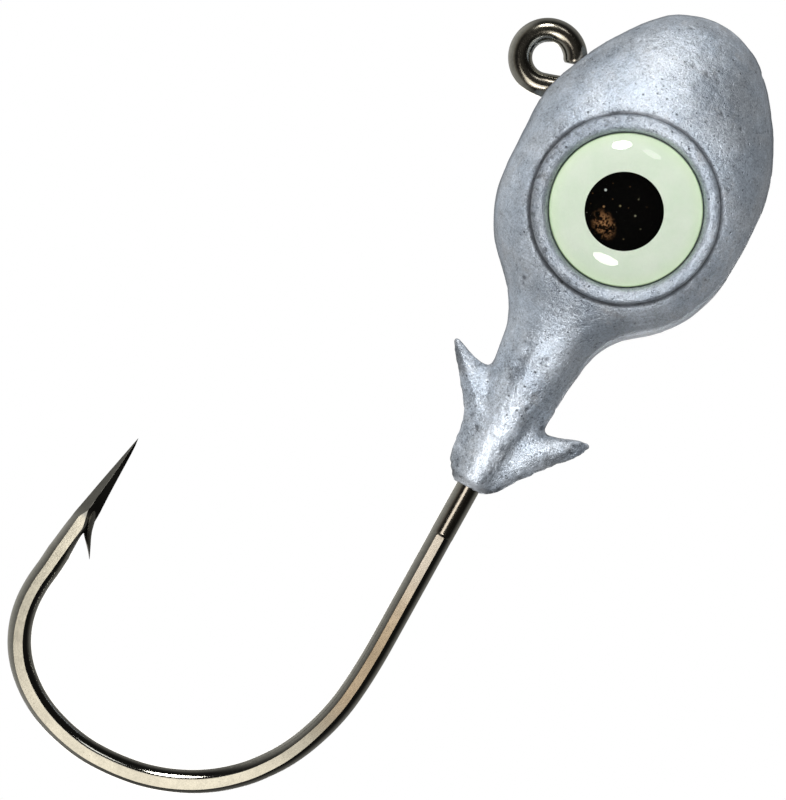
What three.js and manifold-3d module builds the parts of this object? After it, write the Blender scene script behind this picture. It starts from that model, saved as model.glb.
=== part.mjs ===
// Jig head: a lead head with collar and bait keepers, cast round a forged 90 degree jig hook, with a domed stick-on eye in a socket on each side.
// Millimetres. +X runs along the hook shank towards the nose, +Z is the side the hook point and the line tie are on, +Y is the lure's left.
import * as THREE from "three";
import { mergeVertices } from "three/addons/utils/BufferGeometryUtils.js";
import Module from "manifold-3d";

const wasm = await Module();
wasm.setup();

// ---- driving dimensions -------------------------------------------------
const WIRE_D = 1.26; // hook wire
const FLAT_HALF = 0.53; // half the thickness over the forged flats
const CAST_GAP = 0.02; // lead to wire, so that the two solids stay apart
const RING_R = 1.44; // line tie, centre line radius
const RING_X = 21.6; // line tie centre, from the collar's end
const RING_Z = 7.16;
const NECK_X = 21.75; // upright leg between shank and line tie
const FORGE_START = -2.95; // the forging begins this far behind the collar
const EYE_X = 16.51; // eye socket centre
const EYE_Z = -0.18;
const EYE_D = 7.95;
const PUPIL_D = 4.08;
const SOCKET_D = 8.3;
const SEAT_Y = 3.75; // socket floor, from the middle plane
const LIP_Y = 4.55; // top of the raised lip round the socket
const LIP_D = 9.82; // outside of the lip
const GLUE_T = 0.12;
const FILM_T = 0.2;
const INK_T = 0.05;
const LAYER_GAP = 0.005; // between the eye's stacked layers
const DOME_EDGE = 0.3; // height of the resin at the rim
const DOME_CROWN = 1.1; // and at its middle
const SHANK_Z = -0.04; // the bare shank lies this far off the collar's axis
const ORIGIN_X = 2.652; // middle of the length, from the collar's end
const ORIGIN_Z = -6.6; // the head's underside, from the shank's centre line

const lead = new THREE.MeshStandardMaterial({ color: 0x9aa0a9, roughness: 0.48, metalness: 0.85 });
const steel = new THREE.MeshStandardMaterial({ color: 0x4d453a, roughness: 0.2, metalness: 1.0 });
const resin = new THREE.MeshStandardMaterial({ color: 0xeef6ee, roughness: 0.05, metalness: 0.0, transparent: true, opacity: 0.35 });
const glow = new THREE.MeshStandardMaterial({ color: 0xd3e8c6, roughness: 0.5, metalness: 0.0 });
const black = new THREE.MeshStandardMaterial({ color: 0x0a0a0a, roughness: 0.25, metalness: 0.0 });
const film = new THREE.MeshStandardMaterial({ color: 0xb9c7a8, roughness: 0.5, metalness: 0.0 });
const glue = new THREE.MeshStandardMaterial({ color: 0xd8d6c8, roughness: 0.8, metalness: 0.0 });

// ---- solids --------------------------------------------------------------
function solid(geometry) {
  const g = geometry.index ? geometry.toNonIndexed() : geometry.clone();
  for (const name of Object.keys(g.attributes)) if (name !== "position") g.deleteAttribute(name);
  const merged = mergeVertices(g, 1e-5);
  let s = new wasm.Manifold(
    new wasm.Mesh({ numProp: 3, vertProperties: new Float32Array(merged.attributes.position.array), triVerts: new Uint32Array(merged.index.array) }),
  );
  return s;
}

function geometryOf(s) {
  const m = s.getMesh();
  const position = new Float32Array(m.numVert * 3);
  for (let i = 0; i < m.numVert; i++) position.set(m.vertProperties.subarray(i * m.numProp, i * m.numProp + 3), i * 3);
  const g = new THREE.BufferGeometry();
  g.setAttribute("position", new THREE.BufferAttribute(position, 3));
  g.setIndex(new THREE.BufferAttribute(new Uint32Array(m.triVerts), 1));
  g.computeVertexNormals();
  return g;
}

// Skins a row of closed rings with the same number of points, with a fan over each end. Rings go counter-clockwise seen from the end.
function loft(rings, firstCentre, lastCentre) {
  const n = rings[0].length;
  const points = rings.flat();
  const index = [];
  for (let i = 0; i < rings.length - 1; i++)
    for (let j = 0; j < n; j++) {
      const a = i * n + j, b = i * n + ((j + 1) % n), c = a + n, d = b + n;
      index.push(a, b, d, a, d, c);
    }
  const first = points.push(firstCentre) - 1;
  const last = points.push(lastCentre) - 1;
  const top = (rings.length - 1) * n;
  for (let j = 0; j < n; j++) {
    index.push(first, (j + 1) % n, j);
    index.push(last, top + j, top + ((j + 1) % n));
  }
  const g = new THREE.BufferGeometry().setFromPoints(points);
  g.setIndex(index);
  g.computeVertexNormals();
  return g;
}

function facingOut(geometry) {
  const made = solid(geometry);
  if (made.volume() > 0) return geometry;
  const i = geometry.index.array;
  for (let k = 0; k < i.length; k += 3) [i[k + 1], i[k + 2]] = [i[k + 2], i[k + 1]];
  return geometry;
}

// ---- hook ----------------------------------------------------------------
// Centre line from the free end of the line tie, round the ring, down the leg, along the shank, round the bend and out to the point.
function hookPath() {
  const p = [];
  const at = (x, z) => p.push(new THREE.Vector3(x, 0, z));
  for (let a = -66; a <= 198; a += 12) {
    const t = THREE.MathUtils.degToRad(a);
    at(RING_X + RING_R * Math.cos(t), RING_Z + RING_R * Math.sin(t));
  }
  at(20.62, 5.62);
  at(21.05, 4.86);
  at(21.55, 3.95);
  at(NECK_X, 3.05);
  at(NECK_X, 2.3);
  for (let a = 15; a <= 75; a += 15) {
    const t = THREE.MathUtils.degToRad(a);
    at(NECK_X - 1.7 + 1.7 * Math.cos(t), 1.7 - 1.7 * Math.sin(t));
  }
  at(NECK_X - 1.7, 0);
  for (const x of [17, 12, 7, 3]) at(x, 0);
  for (const x of [0, -2, -4, -6.5, -8.5]) at(x, SHANK_Z);
  const bend = [
    [-9.8, -0.03], [-10.91, 0.01], [-12.01, 0.09], [-13.05, 0.22], [-14.06, 0.44], [-15.03, 0.74], [-15.94, 1.1], [-16.81, 1.54],
    [-17.61, 2.07], [-18.36, 2.66], [-19.04, 3.34], [-19.65, 4.08], [-20.18, 4.89], [-20.62, 5.75], [-20.98, 6.66], [-21.25, 7.61],
    [-21.42, 8.6], [-21.51, 9.62], [-21.51, 10.67], [-21.37, 11.73], [-21.1, 12.79], [-20.69, 13.84], [-20.1, 14.82], [-19.35, 15.69],
    [-18.45, 16.38], [-17.4, 16.85], [-16.29, 17.08], [-15.17, 17.11], [-14.08, 17.0], [-13.05, 16.9], [-12.03, 16.82],
    [-11.0, 16.68], [-10.0, 16.54], [-9.0, 16.44], [-8.0, 16.34], [-7.0, 16.24], [-6.05, 16.18],
  ];
  for (const [x, z] of bend) at(x, z);
  return new THREE.CatmullRomCurve3(p, false, "centripetal");
}

// Half width of the wire in the hook's plane, from the bend out to the tip.
const TAPER = [[-13.2, 0.6], [-12.5, 0.575], [-12, 0.555], [-11, 0.53], [-10, 0.465], [-9, 0.355], [-8, 0.25], [-7, 0.135], [-6.3, 0.05], [-6.05, 0.012]];
function table(rows, x) {
  if (x <= rows[0][0]) return rows[0][1];
  for (let i = 1; i < rows.length; i++)
    if (x <= rows[i][0]) {
      const [x0, y0] = rows[i - 1], [x1, y1] = rows[i];
      return y0 + ((y1 - y0) * (x - x0)) / (x1 - x0);
    }
  return rows[rows.length - 1][1];
}

// Wire section at a place on the path: points (u, y), u in the hook's plane. The forging flattens both sides between its two ends.
const SECTION = 16;
function section(x, z, forged, grow) {
  const onPoint = z > 12 && x > -13.2;
  const r = onPoint ? table(TAPER, x) : WIRE_D / 2;
  const half = FLAT_HALF + (1 - forged) * (WIRE_D / 2 - FLAT_HALF);
  const ring = [];
  // The corners of the flats are points of their own, so that each flat is one plane with straight edges.
  const corner = r > half ? Math.acos(Math.min(1, half / r)) : 0.25;
  const angles = [];
  for (let side = 0; side < 2; side++) {
    const mid = Math.PI / 2 + side * Math.PI;
    angles.push(mid - corner, mid + corner);
    const inner = SECTION / 2 - 1;
    for (let k = 1; k < inner; k++) angles.push(mid + corner + ((Math.PI - 2 * corner) * k) / inner);
  }
  for (const a of angles) {
    const y = Math.max(-half, Math.min(half, r * Math.sin(a)));
    const u = r * Math.cos(a);
    const length = Math.hypot(u, y) || 1;
    ring.push([u * (1 + grow / length), y * (1 + grow / length)]);
  }
  return ring;
}

function hookGeometry(grow, everyNth) {
  const path = hookPath();
  const N = 1400;
  const samples = path.getPoints(N).map((v, i) => ({ v, t: path.getTangent(i / N) }));
  const rings = [];
  let run = 0, lastTurn = null, sinceLast = 1e9;
  const picked = [];
  samples.forEach((s, i) => {
    if (i) run += s.v.distanceTo(samples[i - 1].v);
    const turn = Math.atan2(s.t.z, s.t.x);
    let bent = lastTurn === null ? 9 : Math.abs(Math.atan2(Math.sin(turn - lastTurn), Math.cos(turn - lastTurn)));
    const z = s.v.z, x = s.v.x;
    const nearForge = z < 1 && Math.abs(x - FORGE_START) < 0.4;
    const nearPoint = z > 12 && x > -13.4;
    const step = nearForge ? 0.1 : nearPoint ? 0.45 : 3.2;
    if (i === 0 || i === N || bent > everyNth || run - sinceLast > step) {
      picked.push(s);
      lastTurn = turn;
      sinceLast = run;
    }
  });
  for (const { v, t } of picked) {
    const beyond = v.z > 12 ? 1 : THREE.MathUtils.clamp((FORGE_START + 0.25 - v.x) / 0.5, 0, 1);
    const forged = v.z < 12 && v.x > FORGE_START + 0.25 ? 0 : beyond;
    const n = new THREE.Vector3(-t.z, 0, t.x).normalize();
    rings.push(
      section(v.x, v.z, forged, grow).map(([u, y]) => new THREE.Vector3(v.x + n.x * u, y, v.z + n.z * u)),
    );
  }
  const a = picked[0], b = picked[picked.length - 1];
  return facingOut(loft(rings, a.v.clone().addScaledVector(a.t, -grow), b.v.clone().addScaledVector(b.t, 0.02 + grow)));
}

// Barb: a sliver raised from the inside of the point.
function barbGeometry() {
  const spine = [
    // x, z of the middle, half thickness in the plane, half width across
    [-12.8, 15.36, 0.015, 0.03], [-12.45, 15.54, 0.08, 0.11], [-12.05, 15.76, 0.16, 0.19], [-11.7, 15.98, 0.23, 0.27],
    [-11.3, 16.19, 0.27, 0.33], [-10.85, 16.33, 0.28, 0.35], [-10.3, 16.4, 0.24, 0.3], [-9.7, 16.38, 0.15, 0.2],
  ];
  const rings = spine.map(([x, z, w, y], i) => {
    const p = spine[Math.max(0, i - 1)], q = spine[Math.min(spine.length - 1, i + 1)];
    const t = new THREE.Vector2(q[0] - p[0], q[1] - p[1]).normalize();
    return Array.from({ length: 10 }, (_, k) => {
      const a = (k / 10) * Math.PI * 2;
      return new THREE.Vector3(x - t.y * w * Math.cos(a), y * Math.sin(a), z + t.x * w * Math.cos(a));
    });
  });
  const f = spine[0], l = spine[spine.length - 1];
  return facingOut(loft(rings, new THREE.Vector3(f[0], 0, f[1]), new THREE.Vector3(l[0], 0, l[1])));
}

// ---- head ----------------------------------------------------------------
// Distance from the collar's end, upper edge, lower edge, half thickness, and how square the section is (2 is an ellipse).
const HEAD = [
  [0.0, 0.7, -0.74, 0.72, 2], [0.13, 0.92, -0.96, 0.9, 2], [0.5, 1.22, -1.29, 1.08, 2], [1.0, 1.5, -1.59, 1.18, 2], [2.1, 1.69, -1.8, 1.24, 2],
  [4.0, 1.83, -1.98, 1.33, 2], [5.0, 1.89, -2.03, 1.42, 2], [6.0, 1.96, -2.06, 1.62, 2], [7.4, 2.1, -2.2, 1.97, 2], [8.4, 2.3, -2.32, 2.17, 2.02], [9.1, 2.58, -2.46, 2.36, 2.05],
  [9.7, 2.92, -2.7, 2.53, 2.1], [10.2, 3.28, -3, 2.7, 2.15], [10.7, 3.74, -3.46, 2.9, 2.25], [11.2, 4.24, -4.06, 3.11, 2.38], [11.8, 4.82, -4.76, 3.35, 2.55],
  [12.5, 5.34, -5.38, 3.56, 2.75], [13.3, 5.76, -5.84, 3.74, 2.9], [14.3, 6.12, -6.2, 3.93, 3], [15.5, 6.32, -6.48, 4.07, 3.05],
  [17.0, 6.42, -6.6, 4.17, 3.05], [18.5, 6.49, -6.59, 4.19, 3], [19.7, 6.5, -6.5, 4.15, 2.9], [20.8, 6.34, -6.3, 4.05, 2.78],
  [21.9, 5.97, -5.96, 3.88, 2.62], [22.9, 5.44, -5.52, 3.65, 2.48], [23.9, 4.85, -4.93, 3.32, 2.35], [24.9, 4.17, -4.22, 2.93, 2.22],
  [25.8, 3.46, -3.45, 2.5, 2.1], [26.5, 2.76, -2.7, 2.04, 2.04], [27.0, 2, -1.95, 1.53, 2], [27.3, 1.12, -1.05, 0.9, 2], [27.41, 0.5, -0.4, 0.35, 2],
];
const AROUND = 36;
function headBody() {
  const rings = HEAD.map(([x, top, bottom, half, power]) => {
    const middle = (top + bottom) / 2, tall = (top - bottom) / 2;
    return Array.from({ length: AROUND }, (_, k) => {
      const a = (k / AROUND) * Math.PI * 2;
      const c = Math.cos(a), s = Math.sin(a);
      const e = 2 / power;
      return new THREE.Vector3(x, half * Math.sign(c) * Math.abs(c) ** e, middle + tall * Math.sign(s) * Math.abs(s) ** e);
    });
  });
  return facingOut(loft(rings, new THREE.Vector3(0, 0, 0), new THREE.Vector3(27.43, 0, 0.09)));
}

// Bait keeper: a thorn from the collar, lofted from its root to its tip. Rows are root edge and crown edge in the plane, and the half width across.
function keeper(rows) {
  const rings = rows.map(([x0, z0, x1, z1, half]) => {
    const c = new THREE.Vector2((x0 + x1) / 2, (z0 + z1) / 2);
    const d = new THREE.Vector2((x1 - x0) / 2, (z1 - z0) / 2);
    return Array.from({ length: 16 }, (_, k) => {
      const a = (k / 16) * Math.PI * 2;
      return new THREE.Vector3(c.x + d.x * Math.cos(a), half * Math.sin(a), c.y + d.y * Math.cos(a));
    });
  });
  const mid = (r) => new THREE.Vector3((r[0] + r[2]) / 2, 0, (r[1] + r[3]) / 2);
  return facingOut(loft(rings, mid(rows[0]), mid(rows[rows.length - 1])));
}
const UPPER_KEEPER = [
  [1.95, 0.3, 5.95, 0.3, 0.86], [2.4, 1.2, 6.05, 1.25, 0.88], [3.36, 1.98, 6.08, 2.05, 0.82], [4.42, 2.78, 6.12, 2.72, 0.62],
  [5.16, 3.45, 6.25, 3.28, 0.42], [5.8, 4.0, 6.4, 3.8, 0.24], [6.22, 4.24, 6.53, 4.1, 0.1],
];
const LOWER_KEEPER = [
  [0.3, -0.3, 4.3, -0.3, 0.86], [0.4, -1.2, 4.4, -1.25, 0.88], [1.32, -2.0, 4.42, -2.08, 0.84], [2.45, -2.92, 4.5, -2.66, 0.68],
  [3.42, -3.72, 4.72, -3.32, 0.44], [4.22, -4.34, 4.98, -3.94, 0.25], [4.72, -4.58, 5.06, -4.36, 0.1],
];

const lathe = (profile, segments) => new THREE.LatheGeometry(profile.map(([r, y]) => new THREE.Vector2(r, y)), segments);

// Everything on one side of the head is turned about the eye's own axis. The right side is the left side turned half round the shank's direction.
function sidewards(geometry, side) {
  const g = geometry.clone();
  if (side < 0) g.rotateX(Math.PI);
  g.translate(EYE_X, 0, EYE_Z);
  return g;
}

const LIP = [[0, 1.5], [LIP_D / 2 + 0.4, 1.5], [LIP_D / 2 + 0.3, 3.3], [LIP_D / 2 + 0.08, 3.95], [LIP_D / 2 - 0.06, LIP_Y - 0.12], [LIP_D / 2 - 0.3, LIP_Y], [0, LIP_Y]];
const SOCKET = [[0, SEAT_Y], [SOCKET_D / 2, SEAT_Y], [SOCKET_D / 2, 8], [0, 8]];

let casting = solid(headBody());
casting = casting.add(solid(keeper(UPPER_KEEPER))).add(solid(keeper(LOWER_KEEPER)));
for (const side of [1, -1]) casting = casting.add(solid(facingOut(sidewards(lathe(LIP, 44), side))));
for (const side of [1, -1]) casting = casting.subtract(solid(facingOut(sidewards(lathe(SOCKET, 44), side))));
casting = casting.subtract(solid(hookGeometry(CAST_GAP, 0.19)));

const hook = solid(hookGeometry(0, 0.19)).add(solid(barbGeometry()));

// ---- assembly --------------------------------------------------------------
const jig = new THREE.Group();
jig.name = "jig_head";
const built = new THREE.Group();
built.position.set(-ORIGIN_X, 0, -ORIGIN_Z);
jig.add(built);

function place(name, geometry, material, parent = built) {
  const mesh = new THREE.Mesh(geometry, material);
  mesh.name = name;
  parent.add(mesh);
  return mesh;
}

place("head_casting", geometryOf(casting), lead);
place("jig_hook", geometryOf(hook), steel);

for (const [name, side] of [["left", 1], ["right", -1]]) {
  const eye = new THREE.Group();
  eye.position.set(EYE_X, 0, EYE_Z);
  if (side < 0) eye.rotation.x = Math.PI;
  built.add(eye);
  const r = EYE_D / 2;
  let y = SEAT_Y + LAYER_GAP;
  place(`${name}_eye_adhesive`, facingOut(lathe([[0, y], [r - 0.15, y], [r - 0.15, y + GLUE_T], [0, y + GLUE_T]], 40)), glue, eye);
  y += GLUE_T + LAYER_GAP;
  place(`${name}_eye_film`, facingOut(lathe([[0, y], [r, y], [r, y + FILM_T], [0, y + FILM_T]], 40)), film, eye);
  y += FILM_T + LAYER_GAP;
  const p = PUPIL_D / 2;
  place(`${name}_eye_pupil`, facingOut(lathe([[0, y], [p - 0.01, y], [p - 0.01, y + INK_T], [0, y + INK_T]], 40)), black, eye);
  place(`${name}_eye_iris`, facingOut(lathe([[p + 0.01, y], [r, y], [r, y + INK_T], [p + 0.01, y + INK_T], [p + 0.01, y]], 40)), glow, eye);
  y += INK_T + LAYER_GAP;
  const dome = [[0, y], [r - 0.04, y], [r, y + 0.08], [r - 0.01, y + DOME_EDGE * 0.7]];
  for (let k = 0; k <= 7; k++) {
    const t = (k / 7) * (Math.PI / 2) * 0.98 + 0.03;
    const rr = (r - 0.03) * Math.cos(Math.min(t, Math.PI / 2));
    dome.push([k === 7 ? 0 : rr, y + DOME_EDGE + (DOME_CROWN - DOME_EDGE) * Math.sin(Math.min(t, Math.PI / 2)) ** 1.0]);
  }
  place(`${name}_eye_dome`, facingOut(lathe(dome, 40)), resin, eye);
}

export default jig;
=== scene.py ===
# Jig head, looks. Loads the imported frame, builds fine meshes for every piece in place of the plain solids, and sets up materials, light and camera.
import math
import time

import bmesh
import bpy
import numpy as np
from mathutils import Matrix, Vector


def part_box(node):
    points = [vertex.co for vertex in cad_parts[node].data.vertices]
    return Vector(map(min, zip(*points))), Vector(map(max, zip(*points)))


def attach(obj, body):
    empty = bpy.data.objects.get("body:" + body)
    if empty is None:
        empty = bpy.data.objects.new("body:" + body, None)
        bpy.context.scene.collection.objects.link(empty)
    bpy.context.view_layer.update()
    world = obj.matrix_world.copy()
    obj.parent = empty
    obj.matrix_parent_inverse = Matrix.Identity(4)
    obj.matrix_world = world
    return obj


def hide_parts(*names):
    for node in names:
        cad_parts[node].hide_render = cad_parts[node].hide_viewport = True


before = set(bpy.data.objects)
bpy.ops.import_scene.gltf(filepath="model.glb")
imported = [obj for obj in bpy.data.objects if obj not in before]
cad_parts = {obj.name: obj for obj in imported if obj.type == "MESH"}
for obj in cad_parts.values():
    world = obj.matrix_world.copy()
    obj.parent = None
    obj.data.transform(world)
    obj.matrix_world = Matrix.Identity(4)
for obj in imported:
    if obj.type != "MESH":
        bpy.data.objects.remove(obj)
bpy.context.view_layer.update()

T0 = time.time()
MM = 0.001


def note(text):
    print(f"[jig] {time.time() - T0:6.1f} s  {text}")


# ---------------------------------------------------------------------------
# Places, from the frame. Everything is modelled in millimetres from the collar's end on the shank's axis, and moved to the row frame when a mesh is made.
# ---------------------------------------------------------------------------
head_lo, head_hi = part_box("head_casting")
ORG = np.array([head_lo[0] / MM, 0.0, head_lo[2] / MM + 6.6])
dome_lo, dome_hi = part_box("right_eye_dome")
EYE_X = (dome_lo[0] + dome_hi[0]) / 2 / MM - ORG[0]
EYE_Z = (dome_lo[2] + dome_hi[2]) / 2 / MM - ORG[2]
EYE_R = (dome_hi[0] - dome_lo[0]) / 2 / MM
DOME_TOP = -dome_lo[1] / MM
film_lo, film_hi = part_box("right_eye_film")
glue_lo, glue_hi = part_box("right_eye_adhesive")
iris_lo, iris_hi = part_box("right_eye_iris")
pupil_lo, pupil_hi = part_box("right_eye_pupil")
LIP_Y = head_hi[1] / MM
SEAT_Y = -glue_hi[1] / MM - 0.005
PUPIL_R = (pupil_hi[0] - pupil_lo[0]) / 2 / MM
LIP_R, SOCKET_R = 4.92, 4.03
PUPIL_DX, PUPIL_DZ = -0.12, 0.04
WIRE_R, FLAT_HALF = 0.63, 0.53


def row(v):
    """Model millimetres to row metres."""
    return (np.asarray(v, dtype=np.float64) + ORG) * MM


# ---------------------------------------------------------------------------
# Small numpy toolkit
# ---------------------------------------------------------------------------
def curve(table, x):
    """Smooth monotone interpolation through the rows of a table of (x, y)."""
    t = np.asarray(table, dtype=np.float64)
    xs, ys = t[:, 0], t[:, 1]
    h = np.diff(xs)
    s = np.diff(ys) / h
    m = np.empty(len(xs))
    m[0], m[-1] = s[0], s[-1]
    w1, w2 = 2 * h[1:] + h[:-1], h[1:] + 2 * h[:-1]
    same = s[:-1] * s[1:] > 0
    with np.errstate(divide="ignore", invalid="ignore"):
        inner = (w1 + w2) / (w1 / s[:-1] + w2 / s[1:])
    m[1:-1] = np.where(same, inner, 0.0)
    x = np.clip(np.asarray(x, dtype=np.float64), xs[0], xs[-1])
    i = np.clip(np.searchsorted(xs, x, side="right") - 1, 0, len(xs) - 2)
    u = (x - xs[i]) / h[i]
    return (
        (2 * u**3 - 3 * u**2 + 1) * ys[i] + (u**3 - 2 * u**2 + u) * h[i] * m[i]
        + (-2 * u**3 + 3 * u**2) * ys[i + 1] + (u**3 - u**2) * h[i] * m[i + 1]
    )


def smin(a, b, k):
    h = np.maximum(k - np.abs(a - b), 0) / k
    return np.minimum(a, b) - h * h * k * 0.25


def smax(a, b, k):
    return -smin(-a, -b, k)


def step(a, b, x):
    t = np.clip((x - a) / (b - a), 0, 1)
    return t * t * (3 - 2 * t)


def lattice(ix, iy, iz, seed):
    """A number from 0 to 1 for each whole-number place, the same on every run."""
    n = (ix.astype(np.int64) * 73856093) ^ (iy.astype(np.int64) * 19349663) ^ (iz.astype(np.int64) * 83492791) ^ (seed * 2654435761)
    n = (n ^ (n >> 13)) * 1274126177
    n = (n ^ (n >> 16)) & 0xFFFFFF
    return n / float(0xFFFFFF)


def vnoise(p, size, seed):
    """Smooth noise from -1 to 1 at points p, with bumps of the given size."""
    q = p / size
    i = np.floor(q).astype(np.int64)
    f = q - i
    f = f * f * f * (f * (f * 6 - 15) + 10)
    out = 0.0
    for dx in (0, 1):
        for dy in (0, 1):
            for dz in (0, 1):
                w = (f[:, 0] if dx else 1 - f[:, 0]) * (f[:, 1] if dy else 1 - f[:, 1]) * (f[:, 2] if dz else 1 - f[:, 2])
                out = out + w * lattice(i[:, 0] + dx, i[:, 1] + dy, i[:, 2] + dz, seed)
    return out * 2 - 1


def untangle(D):
    """Removes chequered cell faces from the grid D, where two sheets would share one edge, by flipping the weakest corner."""
    for _ in range(12):
        s = D < 0
        flipped = 0
        for axis in range(3):
            o1, o2 = [a for a in range(3) if a != axis]

            def corner(u, v):
                cut = [slice(None)] * 3
                cut[o1] = slice(u, D.shape[o1] - 1 + u)
                cut[o2] = slice(v, D.shape[o2] - 1 + v)
                return s[tuple(cut)]

            bad = (corner(0, 0) == corner(1, 1)) & (corner(1, 0) == corner(0, 1)) & (corner(0, 0) != corner(1, 0))
            for cell in np.argwhere(bad):
                at = []
                for u, v in ((0, 0), (1, 0), (0, 1), (1, 1)):
                    c = cell.copy()
                    c[o1] += u
                    c[o2] += v
                    at.append(tuple(c))
                weak = min(at, key=lambda c: abs(float(D[c])))
                D[weak] = 0.004 if D[weak] < 0 else -0.004
                flipped += 1
        if not flipped:
            break
        note(f"untangled {flipped} cell faces")
    return D


def surface_net(D, origin, h):
    """Closed quad mesh of the zero level of the grid D, where inside is negative."""
    s = D < 0
    n = np.zeros(tuple(v - 1 for v in D.shape), dtype=np.int8)
    for dx in (0, 1):
        for dy in (0, 1):
            for dz in (0, 1):
                n += s[dx : dx + n.shape[0], dy : dy + n.shape[1], dz : dz + n.shape[2]]
    act = np.argwhere((n > 0) & (n < 8))
    index = np.full(n.shape, -1, dtype=np.int32)
    index[tuple(act.T)] = np.arange(len(act), dtype=np.int32)
    total = np.zeros((len(act), 3))
    count = np.zeros(len(act))
    for axis in range(3):
        o1, o2 = [a for a in range(3) if a != axis]
        for u in (0, 1):
            for v in (0, 1):
                a = act.copy()
                a[:, o1] += u
                a[:, o2] += v
                b = a.copy()
                b[:, axis] += 1
                da, db = D[tuple(a.T)], D[tuple(b.T)]
                hit = (da < 0) != (db < 0)
                t = np.where(hit, da / np.where(hit, da - db, 1), 0)
                p = a.astype(np.float64)
                p[:, axis] += t
                total += np.where(hit[:, None], p, 0)
                count += hit
    verts = origin + h * total / count[:, None]
    quads = []
    for axis in range(3):
        o1, o2 = [a for a in range(3) if a != axis]
        if axis == 1:
            o1, o2 = o2, o1
        lo = [slice(None)] * 3
        hi = [slice(None)] * 3
        lo[axis], hi[axis] = slice(None, -1), slice(1, None)
        change = s[tuple(lo)] != s[tuple(hi)]
        e = np.argwhere(change)
        e = e[(e[:, o1] > 0) & (e[:, o2] > 0) & (e[:, o1] < n.shape[o1]) & (e[:, o2] < n.shape[o2])]
        corner = []
        for u, v in ((-1, -1), (0, -1), (0, 0), (-1, 0)):
            c = e.copy()
            c[:, o1] += u
            c[:, o2] += v
            corner.append(index[tuple(c.T)])
        q = np.stack(corner, 1)
        inside = s[tuple(e.T)]
        q[~inside] = q[~inside][:, ::-1]
        quads.append(q)
    return verts, np.concatenate(quads)


def sample(G, origin, h, p):
    """Trilinear sample of one or more grids at points p."""
    q = (p - origin) / h
    i = np.floor(q).astype(np.int64)
    for a in range(3):
        i[:, a] = np.clip(i[:, a], 0, G[0].shape[a] - 2)
    f = q - i
    out = [0.0] * len(G)
    for dx in (0, 1):
        for dy in (0, 1):
            for dz in (0, 1):
                w = (f[:, 0] if dx else 1 - f[:, 0]) * (f[:, 1] if dy else 1 - f[:, 1]) * (f[:, 2] if dz else 1 - f[:, 2])
                at = (i[:, 0] + dx, i[:, 1] + dy, i[:, 2] + dz)
                for k, g in enumerate(G):
                    out[k] = out[k] + w * g[at]
    return out


def edge_list(quads):
    e = np.concatenate([quads[:, [0, 1]], quads[:, [1, 2]], quads[:, [2, 3]], quads[:, [3, 0]]])
    e.sort(axis=1)
    return np.unique(e, axis=0)


def relax(verts, edges, share):
    """Moves each point a share of the way to the mean of its neighbours."""
    n = len(verts)
    total = np.zeros((n, 3))
    for a in range(3):
        total[:, a] = np.bincount(edges[:, 0], verts[edges[:, 1], a], n) + np.bincount(edges[:, 1], verts[edges[:, 0], a], n)
    count = np.bincount(edges[:, 0], minlength=n) + np.bincount(edges[:, 1], minlength=n)
    return verts + share * (total / count[:, None] - verts)


def vertex_normals(verts, quads):
    d1 = verts[quads[:, 2]] - verts[quads[:, 0]]
    d2 = verts[quads[:, 3]] - verts[quads[:, 1]]
    fn = np.cross(d1, d2)
    n = np.zeros_like(verts)
    for c in range(4):
        for a in range(3):
            n[:, a] += np.bincount(quads[:, c], fn[:, a], len(verts))
    return n / np.maximum(np.linalg.norm(n, axis=1, keepdims=True), 1e-12)


def mesh_object(name, verts, faces, material, smooth=True):
    me = bpy.data.meshes.new(name)
    faces = [f.tolist() if isinstance(f, np.ndarray) else f for f in faces] if not isinstance(faces, np.ndarray) else faces
    v = row(verts)
    if isinstance(faces, np.ndarray):
        me.vertices.add(len(v))
        me.vertices.foreach_set("co", v.astype(np.float32).ravel())
        k = faces.shape[1]
        me.loops.add(faces.size)
        me.loops.foreach_set("vertex_index", faces.astype(np.int32).ravel())
        me.polygons.add(len(faces))
        me.polygons.foreach_set("loop_start", np.arange(0, faces.size, k, dtype=np.int32))
        me.update(calc_edges=True)
    else:
        me.from_pydata(v.tolist(), [], faces)
    if smooth:
        me.polygons.foreach_set("use_smooth", np.ones(len(me.polygons), dtype=bool))
    me.validate(clean_customdata=False)
    me.update()
    o = bpy.data.objects.new(name, me)
    bpy.context.scene.collection.objects.link(o)
    if material:
        me.materials.append(material)
    return o


# ---------------------------------------------------------------------------
# Hook: one wire, swept along its centre line
# ---------------------------------------------------------------------------
RING_X, RING_Z, RING_R = 21.6, 7.16, 1.44


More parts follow.
